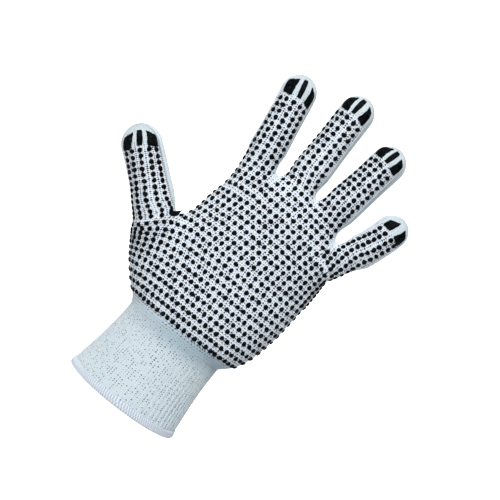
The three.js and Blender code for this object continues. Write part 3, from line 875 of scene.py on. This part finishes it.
cuff = put_mesh("ribbed_cuff", np.concatenate([outer.reshape(-1, 3), inner.reshape(-1, 3)]),
                cuff_faces + more, cuff_uv + more_uv)
print("cuff:", len(cuff.data.polygons), "faces,", RIBS, "ribs")

# %% Hem: a rolled band, wavy like thread wrapped over an edge
HEM_SIDES, HEM_POINTS = 28, 720         # round the band's section, and round the wrist
WRAP_RELIEF, WRAP_LEAN = 0.10, 5.5      # mm, and mm up the band for a wrap's width sideways
profile = np.linspace(0, 2 * math.pi, HEM_SIDES + 1)[:-1]
thick, tall = HEM_WALL / 2, (HEM_HEIGHT + 0.5) / 2
out = thick * np.sign(np.cos(profile)) * np.abs(np.cos(profile)) ** 0.8
up = tall * np.sign(np.sin(profile)) * np.abs(np.sin(profile)) ** 0.75
hem_turns = np.arange(HEM_POINTS) / HEM_POINTS
phase = hem_turns[None] * HEM_WRAPS + up[:, None] / WRAP_LEAN
wraps = WRAP_RELIEF * np.cos(2 * math.pi * phase)
band = cuff_ring((tall + up)[:, None] + 0 * hem_turns[None], 2 * math.pi * hem_turns[None],
                 (out - 0.5)[:, None] + wraps * (np.cos(profile) > -0.2)[:, None])
index, uv = closed_ring_grid(band, np.arange(HEM_SIDES) / HEM_SIDES)
index = np.concatenate([index, index[:1]])[::-1]
uv = np.concatenate([uv, uv[:1] + [0, 1]])[::-1]
hem_faces, hem_uv = grid_faces(index, uv)
hem = put_mesh("overlocked_hem", band.reshape(-1, 3), hem_faces, hem_uv)
print("hem:", len(hem.data.polygons), "faces")

# %% [markdown]
# ## Printed dots
# The dots are PVC paste pushed through a screen onto the palm side and baked, so they
# sit in rows and columns that follow the knit. Each is a low dome. One dome is worked
# out, and then set at every crossing of a dot column and a dot row.

# %% Where the dots sit
FIRST_ROW = 1.58            # courses above the cuff
AHEAD = 0.2                 # courses, a step to feel which way a wale runs


def wale_path(u):
    """The whole way up one column, from the wrist through the palm into the thumb or a
    finger: point numbers, courses, and the course at that stall's root."""
    column = lines_in(u - THUMB_EDGE)
    parts = [(ids["hand_low"][:, column], grids["hand_low"][2][:, column])]
    name = next((n for n, one in STALLS.items() if one["columns"][0] < u < one["columns"][1]), None)
    if u > 0:
        above = column - THUMB_LINES
        parts.append((ids["hand_high"][1:, above], grids["hand_high"][2][1:, above]))
    if name:
        inside = lines_in(u - STALLS[name]["columns"][0])
        parts.append((ids[name][1:, inside], grids[name][2][1:, inside]))
    index, course = (np.concatenate([one[k] for one in parts]) for k in (0, 1))
    return index, course, STALLS[name]["root_course"] if name else course[-1]


def dot_places(u, last, fall):
    """Where one column's dots sit: points and directions read at every whole row,
    lowered by the print's fall on a finger, which sets in at its root."""
    index, course, root = wale_path(u)
    rows = np.arange(FIRST_ROW, last, 1.0)
    rows = rows - fall * smooth(root - 1, root + 3, rows) * mix(0.5, 1.0, smooth(root, last, rows))
    lift = between(rows, course, knit_normals[index])
    place = between(rows, course, knit_points[index])
    ahead = between(rows + AHEAD, course, knit_points[index])
    return place, lift / np.linalg.norm(lift, axis=1, keepdims=True), ahead - place


def last_row(one):
    """The last dot row's course, and a little more."""
    return one["root_course"] + one["last_dots"] / one["pitch"] + 0.4


PRINT_FALL = 0.1            # dot rows, times the square of columns from the row's peak
columns = []
for name, one in STALLS.items():
    first = one["columns"][0]
    ahead_of = math.ceil(first - 0.5 + 1e-6)
    for k in range(4 if name == "little_finger" else 5):
        u = ahead_of + k + 0.5
        columns.append((u, last_row(one), PRINT_FALL * (k - 1.6) ** 2))
for u in CROTCH_COLUMNS:
    _, course, _ = wale_path(u)
    columns.append((u, course[-1] - 1.2, 0.0))
columns.append((THUMB_EDGE, 7.0, 0.0))
print("columns:", [c[0] for c in columns])
found = [dot_places(*one) for one in columns]
place, lift, ahead = (np.concatenate([one[k] for one in found]) for k in range(3))
print("dots:", len(place), "in", len(columns), "columns")

# %% Domes
DOT_RADIUS, DOT_HEIGHT, DOT_SIDES = 1.58, 0.8, 12
DOT_RINGS = [(1.04, -0.45), (0.96, 0.4), (0.62, 0.84)]     # radius and height, as shares
sides = np.linspace(0, 2 * math.pi, DOT_SIDES + 1)[:-1]
dome = np.concatenate([np.stack([r * np.cos(sides), r * np.sin(sides), 0 * sides + h], -1)
                       for r, h in DOT_RINGS] + [[[0, 0, 1.0]]])
here = np.arange(DOT_SIDES)
onward = (here + 1) % DOT_SIDES
ring_quads = np.stack([here, onward, onward + DOT_SIDES, here + DOT_SIDES], -1)
dome_quads = np.concatenate([ring_quads, ring_quads + DOT_SIDES])
dome_tips = np.stack([here, onward, 0 * here + DOT_SIDES], -1) + 2 * DOT_SIDES
up = lift
right = np.cross(ahead, up)
right /= np.linalg.norm(right, axis=1, keepdims=True)
forward = np.cross(up, right)
size = DOT_RADIUS * rng.uniform(0.93, 1.07, (len(place), 1, 1))
oval = 1 + rng.uniform(-0.07, 0.07, (len(place), 1, 1))
nudge = rng.normal(0, 0.12, (len(place), 2))
centre = place + nudge[:, :1] * right + nudge[:, 1:] * forward
wobble = (1 + 0.07 * np.sin(2 * sides + rng.uniform(0, 6.3, (len(place), 1)))
          + 0.06 * np.sin(3 * sides + rng.uniform(0, 6.3, (len(place), 1))))
wobble = np.tile(wobble, (1, len(DOT_RINGS)))
wobble = np.concatenate([wobble, np.ones((len(place), 1))], axis=1)[..., None]
dots_points = (centre[:, None]
               + size * oval * wobble * dome[None, :, :1] * right[:, None]
               + size / oval * wobble * dome[None, :, 1:2] * forward[:, None]
               + DOT_HEIGHT * dome[None, :, 2:] * up[:, None])
base = (np.arange(len(place)) * len(dome))[:, None, None]
dots_faces = [(f[None] + base).reshape(-1, f.shape[1]) for f in (dome_quads, dome_tips)]
grip_dots = put_mesh("grip_dots", dots_points.reshape(-1, 3), dots_faces)
print("dome faces:", len(dome_quads) + len(dome_tips), "each")

# %% [markdown]
# ## Fingertip patches
# Where fingers grip, the screen prints bars in place of dots: three on each tip, two on
# the little finger. They follow the wales, the outer ones rounded towards the tip. Each
# is a small grid on the finger's own formula, with a swollen middle and edges that dive
# into the knit.

# %% Patches
PATCH_LENGTH, PATCH_HEIGHT = 13.5, 0.62
# stall, part, turns of its two sides at the low end and at the high end, and shares
# below the tip of its two ends at the first side and at the second
TIP_PATCHES = [
    ("thumb", "outer", (-58, -50), (-26, -14), (1.05, 1.00), (0.44, 0.28)),
    ("thumb", "mid", (-9, -2), (3, 14), (0.91, 0.93), (0.25, 0.28)),
    ("thumb", "inner", (14, 27), (46, 51), (0.98, 1.20), (0.33, 0.66)),
    ("index_finger", "outer", (-48, -55), (-13, -15), (1.13, 1.14), (0.50, 0.27)),
    ("index_finger", "mid", (1, -2), (13, 15), (1.08, 1.10), (0.20, 0.20)),
    ("index_finger", "inner", (27, 37), (54, 58), (1.20, 1.36), (0.32, 0.68)),
    ("middle_finger", "outer", (-62, -68), (-25, -34), (1.02, 1.03), (0.45, 0.20)),
    ("middle_finger", "mid", (-15, -17), (-4, 4), (0.97, 0.97), (0.14, 0.15)),
    ("middle_finger", "inner", (7, 25), (37, 43), (1.02, 1.20), (0.23, 0.46)),
    ("ring_finger", "outer", (-64, -74), (-27, -31), (0.94, 0.92), (0.46, 0.18)),
    ("ring_finger", "mid", (-15, -16), (-3, 4), (0.89, 0.89), (0.14, 0.16)),
    ("ring_finger", "inner", (7, 20), (36, 42), (0.96, 1.09), (0.24, 0.46)),
    ("little_finger", "outer", (-40, -38), (-7, 1), (0.85, 0.82), (0.42, 0.20)),
    ("little_finger", "inner", (10, 31), (48, 54), (0.83, 1.05), (0.26, 0.52)),
]


def drawn_in(a, b, grown, waves, starts):
    """One of a square's two values, drawn in at the corners, with two small waves."""
    return (grown * a * np.sqrt(1 - 0.16 * b**8) + 0.03 * np.sin(waves[0] * b + starts[0])
            + 0.02 * np.sin(waves[1] * b + starts[1]))


def patch_grid(place_of):
    """A patch as a closed skin: a square of values from -1 to 1 is rounded at its
    corners and placed by place_of(s, t, proud), swelling towards its middle."""
    s, t = np.meshgrid(np.linspace(-1, 1, 19), np.linspace(-1, 1, 25))
    edge = np.maximum((1 - s**8) * (1 - t**8), 0)
    proud = mix(-0.5, PATCH_HEIGHT, edge**0.28)
    ragged = rng.uniform(0, 2 * math.pi, 4)
    points = place_of(drawn_in(s, t, 1.08, (9, 17), ragged[:2]),
                      drawn_in(t, s, 1.06, (7, 13), ragged[2:]), proud)
    faces, _ = grid_faces(numbered(points), np.zeros((*s.shape, 2)))
    return points.reshape(-1, 3), faces


patches = {}
for name, part, start, stop, low, high in TIP_PATCHES:
    one = STALLS[name]

    def on_tip(s, t, proud):
        share, rise = (s + 1) / 2, (t + 1) / 2
        below = mix(mix(*low, share), mix(*high, share), rise)
        turn = mix(mix(*start, rise), mix(*stop, rise), share)
        return stall_point(one, one["length"] - below * PATCH_LENGTH, turn, proud)

    patches[f"{name}_patch_{part}"] = put_mesh(f"{name}_print_{part}", *patch_grid(on_tip))


def in_crotch(s, t, proud):
    """The thumb crotch's patch: a curved triangle between three corners on the palm's
    front. Its depth is the knit's nearby, each point weighted by how near it is."""
    share, rise = (s + 1) / 2, (t + 1) / 2
    top = mix(np.array([-48.6, 114.4]), np.array([-42.6, 118.9]), share[..., None])
    sag = 0.9 * (1 - s**2)
    low = mix(np.array([-46.9, 111.9]), np.array([-42.6, 114.2]), share[..., None])
    spot = mix(low, top, rise[..., None]) - sag[..., None] * np.array([-0.5, 0.86])
    front = knit_points[(knit_normals[:, 1] < -0.15) & (np.abs(knit_points[:, 0] + 45) < 9)
                        & (np.abs(knit_points[:, 2] - 115) < 9)]
    apart = ((spot[..., None, :] - front[:, [0, 2]]) ** 2).sum(-1)
    weight = np.exp(-apart / 0.7**2 / 2) + 1e-12
    depth = (weight * front[:, 1]).sum(-1) / weight.sum(-1)
    return np.stack([spot[..., 0], depth - proud, spot[..., 1]], -1)


patches["thumb_crotch_patch"] = put_mesh("thumb_crotch_print", *patch_grid(in_crotch))
print("patches:", len(patches))

# %% [markdown]
# ## Where the knit is printed and stretched
# The dotted side is pulled open by the print, so its stitches show small openings,
# painted dark as the shade inside them, while the plain sides and the wrist stay closed
# and look a little greyer. A number on each point says how near the print is, and the
# cotton reads it. A second number marks a band round the wrist, where shade is painted
# into the yarn, more of it towards the little finger's side.

# %% Nearness of the print
PRINT_REACH = (2.6, 5.5)    # mm from a dot's middle: fully open, and closed again


def near_dots(points, spots):
    """The distance from each point to its nearest dot, as the root of the smallest
    |p|^2 - 2 p.q + |q|^2, worked out for a slab of points at a time."""
    square = (spots**2).sum(1)[None]
    least = [((s**2).sum(1)[:, None] - 2 * s @ spots.T + square).min(1)
             for s in np.array_split(points, 12)]
    return np.sqrt(np.maximum(np.concatenate(least), 0))


def mark(piece, name, values):
    """Stores a number on each point of a piece, for its material to read."""
    layer = piece.data.attributes.new(name, "FLOAT", "POINT")
    layer.data.foreach_set("value", values.astype(np.float32))


printed = 1 - smooth(*PRINT_REACH, near_dots(knit_points, place))
mark(glove_knit, "Printed", printed)
print("share of the knit that is printed:", round(float(printed.mean()), 2))

# %% Painted shade at the wrist
for piece in (glove_knit, cuff):
    at = np.zeros(len(piece.data.vertices) * 3, np.float32)
    piece.data.vertices.foreach_get("co", at)
    x, _, z = at.reshape(-1, 3).T * 1000
    # Painted shade: a band round the wrist where the palm swells out of the cuff, stronger towards
    # the little finger's side, where x is larger.
    shade_painted = (smooth(CUFF_LENGTH - 12, CUFF_LENGTH + 3, z)
                * smooth(CUFF_LENGTH + 13, CUFF_LENGTH + 4, z) * mix(0.45, 1.0, smooth(-34, 12, x)))
    mark(piece, "PaintedShade", shade_painted)
    print(piece.name, "is gathered over", round(float((shade_painted > 0.5).mean()), 3), "of its points")

# %% [markdown]
# ## Colours and nodes
# Colours are picked as the hex codes that a screen shows, while Blender mixes light in
# linear numbers, so one function turns the first into the second. A second one adds a
# node, sets it and links it, and it is all that the materials below need.

# %% Material helpers
MATHS = "ShaderNodeMath"
TIMES, PLUS, MINUS, TIMES_PLUS, DIVIDE, POWER, PART, WHOLE, SIZE_OF, LEAST, SINE = (
    {"operation": one} for one in ("MULTIPLY", "ADD", "SUBTRACT", "MULTIPLY_ADD", "DIVIDE",
                                   "POWER", "FRACT", "ROUND", "ABSOLUTE", "MINIMUM", "SINE"))
SMOOTHLY = {"interpolation_type": "SMOOTHSTEP"}


def linear(code):
    """A hex colour as linear numbers: each channel through the sRGB curve."""
    c = np.array([int(code[k:k + 2], 16) / 255 for k in (1, 3, 5)])
    return (*np.where(c <= 0.04045, c / 12.92, ((c + 0.055) / 1.055) ** 2.4).tolist(), 1.0)


def add(nodes, kind, settings=(), *inputs, **named):
    """Adds a node. Settings are its own properties. Its sockets are filled in order by
    inputs and by name by named ones (_6 is socket 6): a socket or node is linked, and
    anything else is the socket's value."""
    node = nodes.new(kind)
    for key, value in dict(settings).items():
        setattr(node, key, value)
    filled = dict(enumerate(inputs))
    for key, value in named.items():
        filled[int(key[1:]) if key[0] == "_" else key.replace("_", " ")] = value
    for socket, value in filled.items():
        if isinstance(value, bpy.types.Node):
            value = value.outputs[0]
        if isinstance(value, bpy.types.NodeSocket):
            nodes.id_data.links.new(value, node.inputs[socket])
        else:
            node.inputs[socket].default_value = value
    return node


def new_material(name, pieces):
    """An empty node material, given to its pieces."""
    material = bpy.data.materials.new(name)
    material.use_nodes = True
    material.node_tree.nodes.clear()
    for piece in pieces:
        piece.data.materials.clear()
        piece.data.materials.append(material)
    return material.node_tree.nodes


def stitch_count(nodes):
    """Where a point is on the knit, from the UV map."""
    place = add(nodes, "ShaderNodeUVMap", {"uv_map": "Stitches"})
    return add(nodes, "ShaderNodeSeparateXYZ", (), place)


def blend(nodes, share, low, high, way="MIX"):
    """The colour a share of the way from low to high, or to their product."""
    settings = {"data_type": "RGBA", "clamp_factor": True, "blend_type": way}
    return add(nodes, "ShaderNodeMix", settings, share, _6=low, _7=high).outputs[2]


def surface(nodes, **named):
    """The shader that all materials end in, and its output."""
    add(nodes, "ShaderNodeOutputMaterial", Surface=add(nodes, "ShaderNodeBsdfPrincipled", **named))


print("middle grey in linear:", [round(v, 3) for v in linear("#808080")])

# %% [markdown]
# ## Knitted cotton
# The palm is bleached cotton string in plain stitches: rough, matt yarn with short
# fibres that catch light at the edges. Each stitch shows as a V of two slanting legs,
# and where four stitches meet the knit can open. An image could be tiled over it, but
# here each stitch is worked out from the UV map, which counts dot columns and rows, so
# the pattern follows the glove up into every finger. A real stitch is about 2 mm wide.

# %% String and rib knit
def knit_material(name, pieces, wales, courses, colours, opened, depth, stagger):
    """Across a wale each leg's height is a parabola on both sides of the middle, and
    along it a parabola whose start slides outwards, so that the two make a V. Where a leg
    is low, its colour is painted towards the shade colour, as painted shade between the
    legs. An opening is an ellipse round the corner of four stitches, painted in the dark
    colour as the shade inside it, and each corner draws its own width from opened, its
    least and most: in plain cloth, and where it is printed. Each wale is shifted along by
    its own share of stagger, in courses."""
    nodes = new_material(name, pieces)
    maths = partial(add, nodes, MATHS)
    count = stitch_count(nodes)
    where = add(nodes, "ShaderNodeTexCoord").outputs["Object"]
    fibres = add(nodes, "ShaderNodeTexNoise", Vector=where, Scale=1000 / FIBRE_CLUMP, Detail=3.0)
    stray = maths(TIMES_PLUS, fibres, FIBRE_STRAY, -FIBRE_STRAY / 2)
    column = maths(TIMES, count.outputs[0], wales)
    own = add(nodes, "ShaderNodeTexWhiteNoise", {"noise_dimensions": "1D"}, W=maths(WHOLE, column))
    start = maths(TIMES_PLUS, own.outputs[0], stagger, stray)
    row = maths(TIMES_PLUS, count.outputs[1], courses, start)
    across = maths(PART, maths(PLUS, column, stray))
    side = maths(TIMES, maths(SIZE_OF, maths(MINUS, across, 0.5)), 2.0)
    slid = maths(MINUS, row, maths(TIMES, side, LEG_LEAN))
    along = maths(PART, slid)
    leg = 1.0
    for value in (side, along):
        # 1 - (2x - 1)^2 = 4x (1 - x)
        hump = maths(TIMES, value, maths(MINUS, 1.0, value))
        leg = maths(TIMES, leg, maths(TIMES, hump, 4.0))
    height = maths(POWER, leg, LEG_FLATNESS)
    corner = add(nodes, "ShaderNodeCombineXYZ", (), maths(WHOLE, column), maths(WHOLE, slid))
    draw = add(nodes, "ShaderNodeTexWhiteNoise", {"noise_dimensions": "2D"}, Vector=corner)
    off_wale = maths(DIVIDE, maths(MINUS, 1.0, side), HOLE_SHARE[0])
    off_course = maths(DIVIDE, maths(LEAST, along, maths(MINUS, 1.0, along)), HOLE_SHARE[1])
    away = maths(PLUS, maths(POWER, off_wale, 2.0), maths(POWER, off_course, 2.0))
    printed, shade_painted = (add(nodes, "ShaderNodeAttribute", {"attribute_name": one}).outputs["Fac"]
                         for one in ("Printed", "PaintedShade"))
    (least_plain, most_plain), (least, most) = opened
    span_plain, span = most_plain - least_plain, most - least
    low = maths(TIMES_PLUS, printed, least - least_plain, least_plain)
    spread = maths(TIMES_PLUS, printed, span - span_plain, span_plain)
    width = maths(TIMES_PLUS, draw.outputs[0], spread, low)
    hole_shade = maths(TIMES, maths(MINUS, width, away), HOLE_EDGE)
    light, plain, shade, dark = (linear(code) for code in colours)
    # Painted shade: the yarn's colour falls to the shade colour where a leg is low.
    tone = blend(nodes, height, shade, blend(nodes, printed, plain, light))
    soil = add(nodes, "ShaderNodeTexNoise", Vector=where, Scale=1000 / TONE_PATCH, Detail=4.0)
    patchy = maths(TIMES_PLUS, soil, 0.5, -0.12)
    mottled = blend(nodes, patchy, tone, linear("#DDE2EA"), "MULTIPLY")
    # Painted shade: a blue grey is multiplied in over the band marked round the wrist.
    drawn = blend(nodes, shade_painted, mottled, linear("#C0CDD5"), "MULTIPLY")
    # Painted shade: the openings are given the dark colour.
    final = blend(nodes, hole_shade, drawn, dark)
    relief = maths(TIMES_PLUS, fibres, 0.4, height)
    bump = add(nodes, "ShaderNodeBump", Height=relief, Strength=0.9, Distance=depth / 1000)
    surface(nodes, Base_Color=final, Normal=bump, Roughness=0.9, IOR=1.45, Sheen_Weight=0.25,
            Sheen_Roughness=0.6)


FIBRE_CLUMP, TONE_PATCH = 2.4, 30.0     # mm: tufts of stray fibre, and faint soiling
FIBRE_STRAY = 0.35                      # wales and courses that the yarn strays by
LEG_LEAN = 0.55                         # courses that a leg slides over half a wale
LEG_FLATNESS = 0.45                     # the power of a leg's height: lower is flatter
HOLE_EDGE = 2.2                         # how sharply an opening turns dark
HOLE_SHARE = (0.5, 0.36)                # an opening's half width in half wales and in courses
# Its colours: a lit yarn where it is printed and where it is plain, painted shade between the legs,
# and painted shade in an opening.
knit_material("string_knit_cotton", [glove_knit, inside_knit], 2.0, 3.0,
              ("#EFF7FF", "#DCE8EA", "#ABBAC8", "#0D141B"), ((-0.3, 0.5), (0.3, 1.6)), 0.5, 0.0)
# The cuff is the same yarn knitted over elastic: finer, greyer and closed up.
knit_material("ribbed_elastic_knit", [cuff], 120.0, 36.0,
              ("#D8E4EA", "#D8E4EA", "#ABBBC4", "#36424A"),
              ((-0.15, 1.05), (-0.15, 1.05)), 0.35, 4.0)
print("knit materials:", len(bpy.data.materials))

# %% [markdown]
# ## Overlock yarn
# The edge is wrapped by an overlock machine in a bulky, shiny-white thread, whose turns
# lie side by side and lean. Slanting stripes, one a wrap of about 1.4 mm, give both their
# roundness and the painted shade in the grooves between the turns.

# %% Overlock thread
nodes = new_material("overlock_yarn", [hem])
maths = partial(add, nodes, MATHS)
count = stitch_count(nodes)
lean = maths(TIMES, count.outputs[1], 1.6)
turn = maths(TIMES, maths(TIMES_PLUS, count.outputs[0], HEM_WRAPS, lean), 2 * math.pi)
wave = maths(TIMES_PLUS, maths(SINE, turn), 0.5, 0.5)
# Painted shade: the thread is darker in the grooves between its turns and pale on their crowns.
tone = blend(nodes, wave, linear("#A3A9BA"), linear("#D0DAE0"))
bump = add(nodes, "ShaderNodeBump", Height=wave, Strength=0.6, Distance=0.0003)
surface(nodes, Base_Color=tone, Normal=bump, Roughness=0.85, IOR=1.45, Sheen_Weight=0.2)
print("wraps round the hem:", int(HEM_WRAPS))

# %% [markdown]
# ## Printed PVC
# Soft PVC paste baked on cloth is black through and through, with a fine pitted skin
# that breaks its gloss into small points of light. It is drawn with a noise as fine as
# the pits, in its roughness and bump, and in its colour as painted highlights.

# %% Soft black PVC
PIT = 0.9           # mm, coarser than real pits so that they still show
nodes = new_material("screen_printed_pvc", [grip_dots, *patches.values()])
where = add(nodes, "ShaderNodeTexCoord").outputs["Object"]
grain = add(nodes, "ShaderNodeTexNoise", Vector=where, Scale=1000 / PIT, Detail=3.0)
raised = add(nodes, "ShaderNodeMapRange", SMOOTHLY, grain, 0.53, 0.66, 0.0, 1.0)
# Painted highlight: the raised grain is coloured a lighter grey, for small glints.
black_with_painted_glints = blend(nodes, raised, linear("#010203"), linear("#1E272A"))
rough = add(nodes, MATHS, TIMES_PLUS, raised, -0.2, 0.55)
bump = add(nodes, "ShaderNodeBump", Height=raised, Strength=0.8, Distance=0.0003)
surface(nodes, Base_Color=black_with_painted_glints, Roughness=rough, Normal=bump, IOR=1.45, Specular_IOR_Level=0.05)
print("materials:", [m.name for m in bpy.data.materials][-4:])

# %% [markdown]
# ## Riding and replacing
# Nothing on a glove turns on a hinge, so every piece rides on the one body. The plain
# solids stay in the physics model, and each is hidden by the piece that stands for it.

# %% Ride and replaced solids
slots = {glove_knit: "knit_white", inside_knit: "knit_white", cuff: "rib_grey",
         hem: "hem_yarn", grip_dots: "pvc_black"}
slots.update((piece, "pvc_black") for piece in patches.values())
for piece, slot_name in slots.items():
    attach(piece, "root")
for node, piece in patches.items():
    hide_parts(node)
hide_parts("palm_knit", "thumb_knit", *[f"{name}_knit" for name in FINGERS])
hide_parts("wrist_rib")
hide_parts("cuff_hem")
print("pieces:", len(slots))

# %% [markdown]
# ## Studio
# A product picture like this is taken in front of a pale paper sweep that is lit by
# itself, so that it turns white. The floor curves up into a wall behind the glove, and
# the wall glows a little. The paper in front doesn't, so the glove's shaded side stays
# shaded.

# %% Floor and backdrop
FLOOR_DROP, FLOOR_END, WALL_TOP, SWEEP = 330, 900, 3000, 600     # mm
arc = np.linspace(0, math.pi / 2, 17)
curve = np.stack([FLOOR_END + SWEEP * np.sin(arc), SWEEP - SWEEP * np.cos(arc)], -1)
sweep = np.concatenate([[[-3000, 0], [0, 0]], curve, [[FLOOR_END + SWEEP, WALL_TOP]]])[:, None]
across = np.linspace(-4000, 4000, 9)[None]
points = np.stack(np.broadcast_arrays(across, sweep[..., 0], sweep[..., 1] - FLOOR_DROP), -1)
faces, _ = grid_faces(numbered(points), points[..., :2])
backdrop = put_mesh("pale_backdrop", points.reshape(-1, 3), faces)
nodes = new_material("pale_paper", [backdrop])
where = add(nodes, "ShaderNodeSeparateXYZ", (), add(nodes, "ShaderNodeTexCoord").outputs["Object"])
glow = add(nodes, "ShaderNodeMapRange", SMOOTHLY, where.outputs[1], 0.25, 0.9, 0.0, 0.75)
surface(nodes, Base_Color=linear("#FAFAFA"), Roughness=0.95, Emission_Color=(1, 1, 1, 1),
        Emission_Strength=glow)
print("floor at z", -FLOOR_DROP / 1000, "m")

# %% [markdown]
# ## Light and camera
# A soft light high above models the palm, and a weak one in front opens the shadows.
# The camera looks straight at the palm and is rolled, so that the glove leans in the
# picture as it does in the photograph.

# %% Soft lights
def soft_light(name, place, aim, size, power):
    """A square soft light that faces a point."""
    light = bpy.data.lights.new(name, "AREA")
    light.energy, light.size = power, size
    lamp = placed(name, light)
    lamp.location = place
    lamp.rotation_euler = (Vector(aim) - Vector(place)).to_track_quat("-Z", "Y").to_euler()


PALM = (0, 0, 0.12)         # metres, where the lights aim
soft_light("key", (-0.25, -1.0, 1.4), PALM, 0.7, 33.5)
soft_light("fill", (-0.4, -1.7, 0.4), PALM, 1.2, 3)
world = bpy.data.worlds.new("studio")
world.use_nodes = True
colour, strength = world.node_tree.nodes["Background"].inputs[:2]
colour.default_value, strength.default_value = (0.93, 0.97, 1, 1), 0.17
bpy.context.scene.world = world
bpy.context.scene.view_settings.view_transform = "Standard"

# %% Camera
CAMERA_PLACE, ROLL = (0.0063, -0.670, 0.1252), 38       # metres, degrees
lens = bpy.data.cameras.new("photo_camera")
lens.lens, lens.sensor_width = 76.6, 36.0
camera = placed("photo_camera", lens)
camera.matrix_world = (Matrix.Translation(CAMERA_PLACE)
                       @ Matrix.Rotation(math.radians(90), 4, "X")
                       @ Matrix.Rotation(math.radians(ROLL), 4, "Z"))
bpy.context.scene.camera = camera
print("camera distance:", round(camera.location.length, 3), "m")
